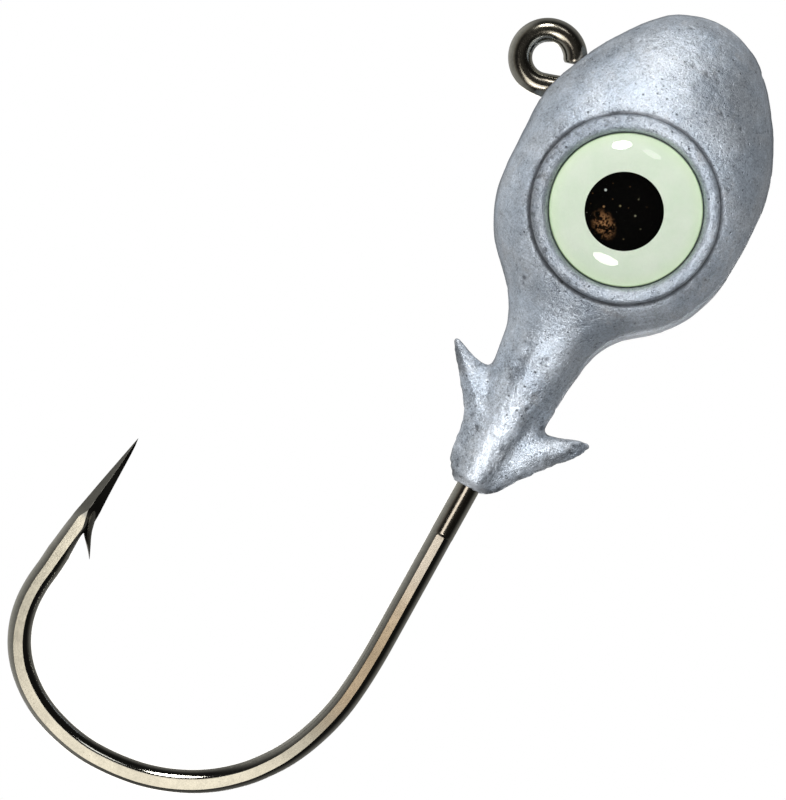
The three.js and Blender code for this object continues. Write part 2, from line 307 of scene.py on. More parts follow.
def hook_path():
    p = []
    for a in range(-75, 199, 7):
        t = math.radians(a)
        p.append((RING_X + RING_R * math.cos(t), RING_Z + RING_R * math.sin(t)))
    p += [(20.62, 5.62), (21.05, 4.86), (21.55, 3.95), (21.75, 3.05), (21.75, 2.3)]
    for a in range(15, 90, 15):
        t = math.radians(a)
        p.append((21.75 - 1.7 + 1.7 * math.cos(t), 1.7 - 1.7 * math.sin(t)))
    p += [(20.05, 0), (17, 0), (12, 0), (7, 0), (3, 0), (0, -0.04), (-2, -0.04), (-4, -0.04), (-6.5, -0.04), (-8.5, -0.04)]
    p += [
        (-9.8, -0.03), (-10.91, 0.01), (-12.01, 0.09), (-13.05, 0.22), (-14.06, 0.44), (-15.03, 0.74), (-15.94, 1.10), (-16.81, 1.54),
        (-17.61, 2.07), (-18.36, 2.66), (-19.04, 3.34), (-19.65, 4.08), (-20.18, 4.89), (-20.62, 5.75), (-20.98, 6.66), (-21.25, 7.61),
        (-21.42, 8.60), (-21.51, 9.62), (-21.51, 10.67), (-21.37, 11.73), (-21.10, 12.79), (-20.69, 13.84), (-20.10, 14.82), (-19.35, 15.69),
        (-18.45, 16.38), (-17.40, 16.86), (-16.29, 17.10), (-15.17, 17.12), (-14.08, 17.00), (-13.2, 16.93),
    ]
    return np.array(p)


def catmull(p, n):
    """Centripetal curve through the points p, n samples between each two."""
    p = np.vstack([2 * p[0] - p[1], p, 2 * p[-1] - p[-2]])
    out = []
    for i in range(1, len(p) - 2):
        p0, p1, p2, p3 = p[i - 1], p[i], p[i + 1], p[i + 2]
        t0 = 0.0
        t1 = t0 + np.linalg.norm(p1 - p0) ** 0.5
        t2 = t1 + np.linalg.norm(p2 - p1) ** 0.5
        t3 = t2 + np.linalg.norm(p3 - p2) ** 0.5
        t = np.linspace(t1, t2, n, endpoint=False)[:, None]
        a1 = (t1 - t) / (t1 - t0) * p0 + (t - t0) / (t1 - t0) * p1
        a2 = (t2 - t) / (t2 - t1) * p1 + (t - t1) / (t2 - t1) * p2
        a3 = (t3 - t) / (t3 - t2) * p2 + (t - t2) / (t3 - t2) * p3
        b1 = (t2 - t) / (t2 - t0) * a1 + (t - t0) / (t2 - t0) * a2
        b2 = (t3 - t) / (t3 - t1) * a2 + (t - t1) / (t3 - t1) * a3
        out.append((t2 - t) / (t2 - t1) * b1 + (t - t1) / (t2 - t1) * b2)
    out.append(p[-2][None])
    return np.vstack(out)


def even(p, gap):
    """The polyline p resampled at even distances."""
    s = np.concatenate([[0], np.cumsum(np.linalg.norm(np.diff(p, axis=0), axis=1))])
    n = max(2, int(round(s[-1] / gap)) + 1)
    t = np.linspace(0, s[-1], n)
    return np.stack([np.interp(t, s, p[:, k]) for k in range(p.shape[1])], 1)


# Beyond the bend the wire is ground to the point: upper edge and lower edge in the plane, and the greatest half thickness across it.
TIP_TOP = [(-13.2, 17.545), (-12.6, 17.46), (-12, 17.38), (-11.5, 17.30), (-11, 17.22), (-10.5, 17.12), (-10, 17.02), (-9, 16.82), (-8, 16.61), (-7, 16.40), (-6.5, 16.295), (-6.05, 16.2)]
TIP_LOW = [(-13.2, 16.325), (-12.6, 16.33), (-12, 16.32), (-11.6, 16.26), (-11.2, 16.12), (-10.8, 16.06), (-10.4, 16.05), (-10, 16.065), (-9, 16.09), (-8, 16.1), (-7, 16.11), (-6.5, 16.13), (-6.05, 16.185)]
TIP_HALF = [(-13.2, 0.53), (-11.4, 0.53), (-10.8, 0.5), (-10.2, 0.44), (-9.5, 0.37), (-8.5, 0.27), (-7.5, 0.17), (-6.6, 0.07), (-6.05, 0.008)]
# the flat runs out in an oblique tip here, and goes on as the ridge between the two ground faces
TIP_FLAT_TOP = [(-13.2, 17.15), (-12, 17.01), (-11.5, 16.96), (-11.2, 16.93), (-11.0, 16.86), (-10.8, 16.76), (-10.6, 16.665), (-9.5, 16.54), (-8, 16.37), (-6.05, 16.2)]
TIP_FLAT_LOW = [(-13.2, 16.67), (-12.2, 16.55), (-11.7, 16.48), (-11.45, 16.45), (-11.1, 16.53), (-10.8, 16.6), (-10.6, 16.645), (-9.5, 16.53), (-8, 16.365), (-6.05, 16.198)]
# Edges of the flat from the wire's centre line, towards the inside and the outside of the bend, along the wire from the forging's start
FLAT_EDGES = [
    ((-2.85, -0.04), 0.235, 0.195), ((-9.8, -0.03), 0.235, 0.195), ((-14.06, 0.44), 0.23, 0.21), ((-15.94, 1.10), 0.215, 0.26), ((-17.61, 2.07), 0.17, 0.32),
    ((-19.04, 3.34), 0.14, 0.37), ((-20.18, 4.89), 0.12, 0.41), ((-20.98, 6.66), 0.09, 0.42), ((-21.42, 8.6), 0.08, 0.42), ((-21.51, 10.67), 0.08, 0.41),
    ((-21.10, 12.79), 0.08, 0.40), ((-20.10, 14.82), 0.11, 0.39), ((-18.45, 16.38), 0.18, 0.30), ((-16.29, 17.10), 0.22, 0.23), ((-14.08, 17.0), 0.235, 0.22), ((-13.2, 16.93), 0.26, 0.22),
]

FLAT_N, ARC_N = 9, 13


def section(r_out, r_in, half, edge_out, edge_in, facet):
    """Closed section as (u, y), u towards the outside of the bend: a flat from -edge_in to edge_out on each side, and the round between them.
    facet from 0 to 1 turns the rounds into straight ground faces."""
    pts = []

    def arc(edge, radius, sign):
        k = np.linspace(0, 1, ARC_N + 2)[1:-1]
        phi0 = math.radians(33)
        phi = phi0 + k * (math.pi - 2 * phi0)
        # goes from (edge, half) over (radius, 0) to (edge, -half)
        up = np.where(phi <= math.pi / 2, phi, math.pi - phi)
        f = (np.sin(up) - math.sin(phi0)) / (1 - math.sin(phi0))
        y = half * np.cos(up) / math.cos(phi0)
        uu = edge + (radius - edge) * f
        yy = np.where(phi <= math.pi / 2, y, -y)
        s_lin = np.where(k <= 0.5, 1 - 2 * k, 1 - 2 * k)
        lin_y = half * s_lin
        lin_u = edge + (radius - edge) * (1 - np.abs(s_lin))
        uu = uu * (1 - facet) + lin_u * facet
        yy = yy * (1 - facet) + lin_y * facet
        return [(sign * a, b) for a, b in zip(uu, yy)]

    for a in np.linspace(-edge_in, edge_out, FLAT_N):
        pts.append((a, half))
    pts += arc(edge_out, r_out, 1)
    for a in np.linspace(edge_out, -edge_in, FLAT_N):
        pts.append((a, -half))
    pts += [(-a, -b) for a, b in [(s, y) for s, y in arc(edge_in, r_in, 1)]]
    return np.array(pts)


def round_section(r):
    """The plain wire, with the same number of points in the same order."""
    s = section(r, r, FLAT_HALF, 0.34, 0.34, 0)
    ang = np.arctan2(s[:, 1], s[:, 0])
    return np.stack([r * np.cos(ang), r * np.sin(ang)], 1)


def build_hook(material):
    wire = even(catmull(hook_path(), 24), 0.085)
    tip_x = np.concatenate([np.arange(-13.2, -6.2, 0.085)[1:], [-6.12, -6.05]])
    top, low = curve(TIP_TOP, tip_x), curve(TIP_LOW, tip_x)
    tip = np.stack([tip_x, (top + low) / 2], 1)
    centre = np.vstack([wire, tip])
    n_wire = len(wire)
    tan = np.gradient(centre, axis=0)
    tan[n_wire - 3 : n_wire + 3] = tan[n_wire - 3 : n_wire + 3].mean(0)
    tan /= np.linalg.norm(tan, axis=1, keepdims=True)
    nor = np.stack([-tan[:, 1], tan[:, 0]], 1)
    # Along the path from the line tie to the point, this normal points to the outside of the bend.
    run = np.concatenate([[0], np.cumsum(np.linalg.norm(np.diff(centre, axis=0), axis=1))])
    after = np.argmin(np.abs(centre[:, 0] + 2.85) + (centre[:, 1] > 3) * 99 + (np.arange(len(centre)) < n_wire * 0.3) * 99)
    rings = []
    plain = round_section(WIRE_R)
    key = []
    for (ex, ez), e_in, e_out in FLAT_EDGES:
        k = int(np.argmin((centre[after:n_wire, 0] - ex) ** 2 + (centre[after:n_wire, 1] - ez) ** 2)) + after
        key.append((run[k], e_in, e_out))
    key = np.array(key)
    for i, (c, n) in enumerate(zip(centre, nor)):
        x = c[0]
        if i < n_wire:
            d = run[i] - run[after]
            forged = float(step(-0.14, 0.02, d))
            grow = 0.55 + 0.45 * float(step(-0.14, 0.08, d)) ** 0.7
            e_in = float(curve(key[:, [0, 1]], run[i])) * grow
            e_out = float(curve(key[:, [0, 2]], run[i])) * grow
            flat = section(WIRE_R - 0.01, WIRE_R - 0.01, FLAT_HALF, e_out, e_in, 0)
            s = plain * (1 - forged) + flat * forged
            if i < 3:  # the cut end of the wire at the line tie, its rim broken
                s = s * (0.86, 0.95, 0.99)[i]
        else:
            k = i - n_wire
            h = (top[k] - low[k]) / 2
            half = float(curve(TIP_HALF, x))
            facet = float(step(-12.1, -10.9, x))
            mid = (top[k] + low[k]) / 2
            e_out = float(curve(TIP_FLAT_TOP, x)) - mid
            e_in = mid - float(curve(TIP_FLAT_LOW, x))
            s = section(h, h, half, e_out, e_in, facet)
        u = s[:, 0]  # outside is along this normal
        rings.append(np.stack([c[0] + n[0] * u, s[:, 1], c[1] + n[1] * u], 1))
    m = len(rings[0])
    verts = np.vstack(rings)
    faces = []
    idx = np.arange(len(rings) * m).reshape(len(rings), m)
    a, b = idx[:-1], np.roll(idx[:-1], -1, axis=1)
    c_, d_ = np.roll(idx[1:], -1, axis=1), idx[1:]
    quads = np.stack([a.ravel(), b.ravel(), c_.ravel(), d_.ravel()], 1)
    first = np.array([centre[0][0], 0, centre[0][1]])
    last = np.array([centre[-1][0] + 0.01, 0, centre[-1][1]])
    verts = np.vstack([verts, first, last])
    f0, l0 = len(verts) - 2, len(verts) - 1
    faces = [tuple(q) for q in quads.tolist()]
    for j in range(m):
        k = (j + 1) % m
        faces.append((f0, idx[0][k], idx[0][j]))
        faces.append((l0, idx[-1][j], idx[-1][k]))
    # one direction for all faces
    p = verts[quads]
    vol = np.einsum("ij,ij->i", p[:, 0], np.cross(p[:, 1], p[:, 2])).sum() + np.einsum("ij,ij->i", p[:, 0], np.cross(p[:, 2], p[:, 3])).sum()
    if vol < 0:
        faces = [f[::-1] for f in faces]
    hook = mesh_object("forged_jig_hook", verts, [tuple(int(v) for v in f) for f in faces], material)

    # the barb, a sliver cut up from the inside of the point, joined on as one solid
    rows = [
        # x, z of the outer edge, x, z of the notch edge, half thickness
        (-12.79, 15.35, -12.75, 15.40, 0.015), (-12.62, 15.42, -12.5, 15.58, 0.07), (-12.35, 15.545, -12.2, 15.86, 0.14), (-12.05, 15.685, -11.92, 16.13, 0.2),
        (-11.75, 15.83, -11.62, 16.38, 0.26), (-11.4, 15.96, -11.25, 16.55, 0.32), (-11.0, 16.05, -10.85, 16.6, 0.34), (-10.5, 16.15, -10.4, 16.56, 0.26),
    ]
    t = np.array(rows)
    s = np.concatenate([[0], np.cumsum(np.linalg.norm(np.diff(t[:, :2], axis=0), axis=1))])
    fine = np.stack([np.interp(np.linspace(0, s[-1], 34), s, t[:, k]) for k in range(5)], 1)
    for _ in range(2):
        fine[1:-1] = (fine[:-2] + 2 * fine[1:-1] + fine[2:]) / 4
    bv = []
    M = 20
    for x0, z0, x1, z1, w in fine:
        for k in range(M):
            a_ = k / M * 2 * math.pi
            c, sn = math.cos(a_), math.sin(a_)
            # two faces that meet in a keel on each side
            f = (1 - abs(c)) ** 0.85 * (1 if sn > 0 else -1) if abs(sn) > 1e-6 else 0.0
            bv.append(((x0 + x1) / 2 + (x1 - x0) / 2 * c, w * f, (z0 + z1) / 2 + (z1 - z0) / 2 * c))
    bv = np.array(bv)
    bf = []
    R = len(fine)
    for i in range(R - 1):
        for k in range(M):
            k2 = (k + 1) % M
            bf.append((i * M + k, i * M + k2, (i + 1) * M + k2, (i + 1) * M + k))
    bf.append(tuple(range(M - 1, -1, -1)))
    bf.append(tuple((R - 1) * M + k for k in range(M)))
    tri = []
    for f in bf:
        for k in range(1, len(f) - 1):
            tri.append((f[0], f[k], f[k + 1]))
    tri = np.array(tri)
    p = bv[tri]
    if np.einsum("ij,ij->i", p[:, 0], np.cross(p[:, 1], p[:, 2])).sum() < 0:
        bf = [f[::-1] for f in bf]
    barb = mesh_object("barb_tool", bv, bf, material)
    mod = hook.modifiers.new("barb", "BOOLEAN")
    mod.operation, mod.object, mod.solver = "UNION", barb, "EXACT"
    dg = bpy.context.evaluated_depsgraph_get()
    joined = bpy.data.meshes.new_from_object(hook.evaluated_get(dg), depsgraph=dg)
    hook.modifiers.clear()
    hook.data = joined
    bpy.data.objects.remove(barb)
    # the union leaves slivers where the two skins nearly coincide: close them up
    bm = bmesh.new()
    bm.from_mesh(joined)
    lo_b, hi_b = row((-14.0, -1.5, 14.9)), row((-9.2, 1.5, 17.2))
    close = [v for v in bm.verts if all(lo_b[k] < v.co[k] < hi_b[k] for k in range(3))]
    bmesh.ops.remove_doubles(bm, verts=close, dist=6e-6)
    bmesh.ops.dissolve_degenerate(bm, dist=2e-6, edges=[e for e in bm.edges if all(lo_b[k] < e.verts[0].co[k] < hi_b[k] for k in range(3))])
    bmesh.ops.triangulate(bm, faces=[f for f in bm.faces if len(f.verts) > 4])
    left_over = set(bm.verts)
    while left_over:
        todo, island = [left_over.pop()], []
        while todo:
            v = todo.pop()
            island.append(v)
            for e in v.link_edges:
                w = e.other_vert(v)
                if w in left_over:
                    left_over.discard(w)
                    todo.append(w)
        if len(island) < 60:
            bmesh.ops.delete(bm, geom=island, context="VERTS")
    bm.to_mesh(joined)
    bm.free()
    joined.polygons.foreach_set("use_smooth", np.ones(len(joined.polygons), dtype=bool))
    joined.set_sharp_from_angle(angle=math.radians(24))
    return hook, centre[:n_wire]


# ---------------------------------------------------------------------------
# Head: one casting, as a smooth-blended distance field
# ---------------------------------------------------------------------------
TOP = [(-0.12, 0), (0.06, 0.58), (0.3, 0.98), (0.55, 1.22), (1, 1.5), (1.5, 1.62), (2, 1.68), (3, 1.76), (4, 1.83), (5, 1.89), (6, 1.96), (6.5, 1.99), (7, 2.04), (7.5, 2.11), (8, 2.2), (8.5, 2.32), (9, 2.51), (9.5, 2.76), (10, 3.08), (10.5, 3.51), (11, 4.01), (11.5, 4.51), (12, 4.96), (12.5, 5.3), (13, 5.58), (13.5, 5.81), (14, 5.99), (15, 6.22), (16, 6.32), (17, 6.38), (18, 6.42), (19, 6.47), (20, 6.43), (20.5, 6.32), (21, 6.15), (21.5, 5.97), (22, 5.79), (22.5, 5.58), (23, 5.32), (23.5, 5.05), (24, 4.76), (24.5, 4.43), (25, 4.08), (25.5, 3.71), (26, 3.29), (26.5, 2.76), (27, 1.95), (27.3, 1.02), (27.42, 0)]
LOW = [(-0.12, 0), (0.06, 0.62), (0.3, 1.06), (0.55, 1.3), (1, 1.6), (1.5, 1.75), (2, 1.82), (3, 1.9), (4, 1.99), (5, 2.03), (6, 2.06), (6.5, 2.1), (7, 2.15), (7.5, 2.2), (8, 2.25), (8.5, 2.32), (9, 2.43), (9.5, 2.6), (10, 2.86), (10.5, 3.25), (11, 3.82), (11.5, 4.43), (12, 4.95), (12.5, 5.36), (13, 5.68), (13.5, 5.92), (14, 6.11), (15, 6.4), (16, 6.54), (17, 6.59), (18, 6.6), (19, 6.55), (20, 6.45), (20.5, 6.36), (21, 6.24), (21.5, 6.09), (22, 5.92), (22.5, 5.7), (23, 5.45), (23.5, 5.17), (24, 4.86), (24.5, 4.5), (25, 4.14), (25.5, 3.73), (26, 3.25), (26.5, 2.68), (27, 1.86), (27.3, 0.95), (27.42, 0)]
# half thickness of the body, and the squareness of its section
WIDE = [(-0.12, 0), (0.06, 0.42), (0.3, 0.64), (1, 0.76), (3, 0.82), (4.5, 1.0), (5.5, 1.3), (6.5, 1.7), (7.4, 1.97), (8.2, 2.14), (9, 2.34), (9.7, 2.58), (10.4, 2.86), (11.2, 3.2), (12, 3.5), (12.8, 3.72), (13.8, 3.92), (15, 4.08), (16.5, 4.17), (18, 4.2), (19.5, 4.17), (20.8, 4.06), (21.9, 3.89), (22.9, 3.65), (23.9, 3.32), (24.9, 2.9), (25.8, 2.42), (26.5, 1.93), (27, 1.38), (27.3, 0.72), (27.42, 0)]
SQUARE = [(-0.12, 2), (8, 2), (9.5, 2.06), (11, 2.35), (12, 2.62), (13, 2.85), (14.5, 3.05), (17, 3.15), (19.5, 3.0), (21.5, 2.7), (23.5, 2.38), (25.5, 2.12), (27.42, 2)]
RIDGE = [(-0.12, 0), (0, 0.66), (0.2, 0.9), (0.5, 1.07), (1, 1.17), (2, 1.24), (3, 1.3), (4, 1.4), (5, 1.55), (6, 1.75), (7, 1.94), (8, 2.08), (9, 2.1)]

# Keepers: outer edge and inner edge in the plane, and the half thickness across, from root to tip
UPPER_KEEPER = [
    (1.2, 0.2, 5.95, 0.2, 0.8), (1.8, 1.1, 6.02, 1.2, 0.82), (2.55, 1.6, 6.08, 1.7, 0.82), (3.26, 1.94, 6.1, 2.0, 0.78), (3.81, 2.33, 6.1, 2.45, 0.70),
    (4.46, 2.82, 6.15, 2.85, 0.58), (5.06, 3.29, 6.25, 3.22, 0.46), (5.56, 3.68, 6.36, 3.55, 0.35), (6.02, 4.05, 6.48, 3.88, 0.235), (6.3, 4.22, 6.55, 4.08, 0.14),
]
LOWER_KEEPER = [
    (0.3, -0.25, 4.3, -0.2, 0.8), (0.45, -1.15, 4.4, -1.2, 0.82), (1.3, -1.9, 4.4, -2.0, 0.82), (2.05, -2.48, 4.4, -2.42, 0.76),
    (2.75, -3.05, 4.5, -2.84, 0.64), (3.42, -3.6, 4.68, -3.3, 0.49), (3.98, -4.05, 4.85, -3.74, 0.35), (4.48, -4.38, 4.96, -4.12, 0.23), (4.74, -4.47, 5.0, -4.32, 0.14),
]


def profile2(table, x):
    """A half height that closes to nothing at its ends, smooth in its square."""
    t = np.array(table, dtype=np.float64)
    t[:, 1] = t[:, 1] ** 2
    return np.sqrt(np.maximum(curve(t, x), 1e-6))


def thorn(rows, X, Z, skew):
    """Half thickness of a thorn over the plane, as (depth field v, half width w): inside where |v| < 1."""
    t = np.array(rows, dtype=np.float64)
    mid = (t[:, 0:2] + t[:, 2:4]) / 2
    s = np.concatenate([[0], np.cumsum(np.linalg.norm(np.diff(mid, axis=0), axis=1))])
    fine_s = np.linspace(0, s[-1], 90)
    fine = np.stack([curve(np.stack([s, t[:, k]], 1), fine_s) for k in range(5)], 1)
    best = np.full(X.shape, 1e9)
    v = np.full(X.shape, 9.0)
    w = np.full(X.shape, 0.1)
    beyond = np.full(X.shape, 9.0)
    for i, (x0, z0, x1, z1, hw) in enumerate(fine):
        cx, cz = (x0 + x1) / 2, (z0 + z1) / 2
        dx, dz = (x1 - x0) / 2, (z1 - z0) / 2
        L = math.hypot(dx, dz)
        off = np.abs((X - cx) * dz - (Z - cz) * dx) / L
        u = ((X - cx) * dx + (Z - cz) * dz) / (L * L)
        take = off + 0.02 * np.maximum(np.abs(u) - 1, 0) < best
        best = np.where(take, off + 0.02 * np.maximum(np.abs(u) - 1, 0), best)
        vv = np.where(u > skew, (u - skew) / (1 - skew), (u - skew) / (1 + skew))
        v = np.where(take, vv, v)
        w = np.where(take, hw, w)
    return v, w, fine[-1]


def build_head(material, wire):
    h = 0.1125
    xs = np.arange(-0.5, 27.8, h)
    ys = np.arange(-3 * h / 2, 5.0, h)  # half of the head, with a little past the middle plane
    zs = np.arange(-7.0, 6.95, h)
    X, Y, Z = xs[:, None, None], ys[None, :, None], zs[None, None, :]
    top, low = profile2(TOP, xs), profile2(LOW, xs)
    wide, sq = profile2(WIDE, xs), curve(SQUARE, xs)
    A = (np.abs(ys)[None, :] / wide[:, None]) ** sq[:, None]
    zc = (top - low) / 2
    tall = (top + low) / 2
    B = (np.abs(zs[None, :] - zc[:, None]) / tall[:, None]) ** sq[:, None]
    F = ((A[:, :, None] + B[:, None, :]) ** (1 / sq)[:, None, None] - 1).astype(np.float32)
    np.clip(F, -2, 60, out=F)
    gx, gy, gz = np.gradient(F, h)
    D = F / np.sqrt(gx * gx + gy * gy + gz * gz + 1e-4)
    del gx, gy, gz
    i0 = np.searchsorted(xs, 26.0)
    Xn = X[i0:]
    cap = ((Z - 0.04) ** 2 / 8.45 + Y**2 / 4.3 - (27.43 - Xn)).astype(np.float32)
    cap = cap / np.sqrt(1 + (2 * (Z - 0.04) / 8.45) ** 2 + (2 * Y / 4.3) ** 2).astype(np.float32)
    w = step(26.2, 26.9, Xn).astype(np.float32)
    D[i0:] = D[i0:] * (1 - w) + cap * w
    D = smax(D, (-0.02 - X).astype(np.float32), 0.3)
    # ridge over the wire, from the collar's end to the neck
    r = profile2(RIDGE, xs)[:, None, None]
    ridge = (np.sqrt(Y * Y + (Z + 0.0) ** 2) - r).astype(np.float32)
    ridge = smax(ridge, (-0.12 - X).astype(np.float32), 0.12)
    ridge = smax(ridge, (X - 8.6).astype(np.float32), 0.5)
    D = smin(D, ridge, 0.22)
    note("body")
    # keepers, only in their own part of the grid
    for rows, skew, power, box in ((UPPER_KEEPER, -0.15, 1.5, (0.6, 7.4, 0.0, 4.9)), (LOWER_KEEPER, 0.25, 1.8, (-0.3, 6.0, -5.3, 0.0))):
        i0, i1 = np.searchsorted(xs, box[0]), np.searchsorted(xs, box[1])
        k0, k1 = np.searchsorted(zs, box[2]), np.searchsorted(zs, box[3])
        j1 = np.searchsorted(ys, 1.9)
        X2, Z2 = np.meshgrid(xs[i0:i1], zs[k0:k1], indexing="ij")
        v, w, end = thorn(rows, X2, Z2, skew)
        yy = ys[:j1]
        f = (np.abs(v[:, None, :]) ** power + (np.abs(yy[None, :, None]) / w[:, None, :]) ** power) ** (1 / power) - 1
        g = np.gradient(f, h)
        d = f / np.sqrt(g[0] ** 2 + g[1] ** 2 + g[2] ** 2 + 1e-3)
        # the thorn stops at its last chord, in a small ball
        e0, e1 = end[0:2], end[2:4]
        m = (e0 + e1) / 2
        prev = np.array(rows[-2])
        pm = (prev[0:2] + prev[2:4]) / 2
        out = (m - pm) / np.linalg.norm(m - pm)
        plane = (X2 - m[0]) * out[0] + (Z2 - m[1]) * out[1]
        d = np.maximum(d, plane[:, None, :])
        rb = np.linalg.norm(e1 - e0) / 2 * 0.98
        ball = np.sqrt((X2 - m[0])[:, None, :] ** 2 + (Z2 - m[1])[:, None, :] ** 2 + yy[None, :, None] ** 2) - rb
        d = smin(d, ball, 0.06)
        part = D[i0:i1, :j1, k0:k1]
        D[i0:i1, :j1, k0:k1] = smin(part, d.astype(np.float32), 0.4)
    note("keepers")
    # lip and socket, round the eye's axis
    R = np.sqrt((X - EYE_X) ** 2 + (Z - EYE_Z) ** 2).astype(np.float32)
    RL = np.sqrt((X - EYE_X - 0.02) ** 2 + (Z - EYE_Z - 0.04) ** 2).astype(np.float32)
    Yf = Y.astype(np.float32)
    side = RL - (LIP_R + 0.05 * (LIP_Y - Yf).clip(0, 3))
    crown = Yf - (LIP_Y - 0.145 * ((RL - 4.50) / 0.40).clip(-1.6, 1.35) ** 2 - 0.04 * np.exp(-(((RL - 4.62) / 0.10) ** 2)))
    lip = smax(side, crown, 0.20)
    D = smin(D, lip, 0.08)
    socket = smax(R - (SOCKET_R + 0.55 * (Yf - LIP_Y + 0.36).clip(0, 1)), SEAT_Y - Yf, 0.04)
    D = smax(D, -socket, 0.07)
    # a tongue of lead drawn up between the two ends of the line tie
    tongue = np.sqrt((X - 21.5) ** 2 * 0.6 + Y**2 * 1.6 + (Z - 5.55) ** 2).astype(np.float32) - 0.5
    D = smin(D, tongue, 0.12)
    note("lip and socket")
    # the hook's own channel
    inside = wire[(wire[:, 0] > -0.6)]
    chan = np.full((len(xs), 1, len(zs)), 99.0, dtype=np.float32)
    XZx, XZz = np.meshgrid(xs, zs, indexing="ij")
    best = np.full(XZx.shape, 1e9)
    pts = even(inside, 0.12)
    for cx, cz in pts:
        i0, i1 = np.searchsorted(xs, cx - 1.3), np.searchsorted(xs, cx + 1.3)
        k0, k1 = np.searchsorted(zs, cz - 1.3), np.searchsorted(zs, cz + 1.3)
        dd = (XZx[i0:i1, k0:k1] - cx) ** 2 + (XZz[i0:i1, k0:k1] - cz) ** 2
        best[i0:i1, k0:k1] = np.minimum(best[i0:i1, k0:k1], dd)
    chan = (np.sqrt(best[:, None, :] + Y**2) - (WIRE_R + 0.03)).astype(np.float32)
    D = smax(D, -chan, 0.05)
    note("channel")
    # mirror to the whole head
    j0 = 2  # ys[2] is h/2, the first level past the middle plane
    half = D[:, j0:, :]
    full = np.concatenate([half[:, ::-1, :], half], axis=1)
    origin = np.array([xs[0], -ys[-1], zs[0]])
    del D, F
    full = untangle(full)
    verts, quads = surface_net(full, origin, h)
    note(f"net of {len(verts)} points")
    grad = [g.astype(np.float32) for g in np.gradient(full, h)]
    G = [full] + grad
    edges = edge_list(quads)

    def project(v):
        d, a, b, c = sample(G, origin, h, v)
        g2 = a * a + b * b + c * c + 1e-6
        move = np.stack([a, b, c], 1) * (d / g2)[:, None]
        size = np.linalg.norm(move, axis=1, keepdims=True)
        return v - move * np.minimum(1, 0.5 * h / np.maximum(size, 1e-9))

    for _ in range(3):
        verts = project(relax(verts, edges, 0.5))
    for _ in range(2):
        verts = project(verts)
    note("smoothed")
    # as-cast skin: soft waves, grain, pits and the trace of the mould's joint
    nrm = vertex_normals(verts, quads)
    from_eye = np.hypot(verts[:, 0] - EYE_X, verts[:, 2] - EYE_Z)
    outer = np.abs(verts[:, 1]) > 0
    in_chan = sample([np.repeat(chan, 1, axis=1)], np.array([xs[0], ys[0], zs[0]]), h, np.stack([verts[:, 0], np.abs(verts[:, 1]), verts[:, 2]], 1))[0]
    skin = step(0.02, 0.16, in_chan) * np.where((from_eye < SOCKET_R + 0.1) & (np.abs(verts[:, 1]) > 3), 0.15, 1.0)
    lip_r = np.hypot(verts[:, 0] - EYE_X - 0.02, verts[:, 2] - EYE_Z - 0.04)
    wave = 0.030 * vnoise(verts, 2.6, 11) + 0.013 * vnoise(verts, 1.1, 12)
    grain = 0.009 * vnoise(verts, 0.42, 13) + 0.008 * vnoise(verts, 0.21, 14)
    rough = 0.65 + 0.9 * step(9.5, 4.0, verts[:, 0])
    lump = wave * np.where(from_eye < LIP_R + 0.3, 0.25, 1.0) + grain * rough
    rng = np.random.default_rng(7)
    seam = 0.035 * np.exp(-((verts[:, 1] / 0.075) ** 2)) * (0.75 + 0.25 * vnoise(verts, 0.8, 15))
    seam *= step(0.05, 0.5, verts[:, 0]) * step(27.45, 26.9, verts[:, 0])
    crease = 0.085 * np.exp(-(((lip_r - LIP_R - 0.07) / 0.075) ** 2)) * (np.abs(verts[:, 1]) > 2.4) * (0.7 + 0.6 * vnoise(verts, 0.9, 16))
    disp = lump + seam - crease
    # pits
    out_v = np.flatnonzero(skin > 0.9)
    vx, vz = verts[out_v, 0], verts[out_v, 2]
    weight = 0.30 + 2.2 * step(9.0, 3.0, vx) + 1.0 * step(1.6, 0.2, np.abs(vx - 10.5)) + 0.9 * step(2.5, 0.5, np.abs(vx - 25))
    weight += 9.0 * step(0.45, 0.1, np.abs(vz + 0.85)) * step(1.0, 1.8, vx) * step(4.8, 4.0, vx)
    weight += 7.0 * step(0.9, 0.3, np.hypot(vx - 0.9, vz - 0.9)) + 6.0 * step(0.22, 0.05, np.abs(vz - 0.58)) * step(6.0, 6.4, vx) * step(8.2, 7.8, vx)
    weight = weight / weight.sum()
    chosen = rng.choice(out_v, size=330, replace=False, p=weight)
    for c in chosen:
        pr = rng.uniform(0.07, 0.17)
        depth = pr * rng.uniform(0.28, 0.5)
        near = np.flatnonzero(np.abs(verts - verts[c]).max(1) < pr * 1.6)
        dd = np.linalg.norm(verts[near] - verts[c], axis=1) / pr
        disp[near] -= depth * np.exp(-(dd**2) * 1.6)
    # how hollow or how proud each place is, for the painted shade in the hollows and the painted highlight on the edges
    hollow = np.zeros(len(verts))
    for reach, share in ((0.16, 0.45), (0.5, 0.55)):
        out_d = sample([full], origin, h, verts + nrm * reach)[0]
        hollow += share * (1 - np.clip(out_d / reach, 0.2, 1.0))
    in_d = sample([full], origin, h, verts - nrm * 0.22)[0]
    proud = 1 - np.clip(-in_d / 0.22, 0.2, 1.0)
    hollow += np.clip(-(disp - wave) * 9.0, 0, 0.6)
    verts = verts + nrm * (disp * skin)[:, None]
    # keep inside the frame's own box
    lo = np.array([head_lo[0], head_lo[1], head_lo[2]]) / MM - ORG
    hi = np.array([head_hi[0], head_hi[1], head_hi[2]]) / MM - ORG
    verts = np.clip(verts, lo - 0.05, hi + 0.05)
    note("skin")
    head = mesh_object("lead_head_casting", verts, quads, material)
    for name, values in (("hollow", hollow), ("proud", proud)):
        at = head.data.attributes.new(name, "FLOAT", "POINT")
        at.data.foreach_set("value", values.astype(np.float32))
    return head


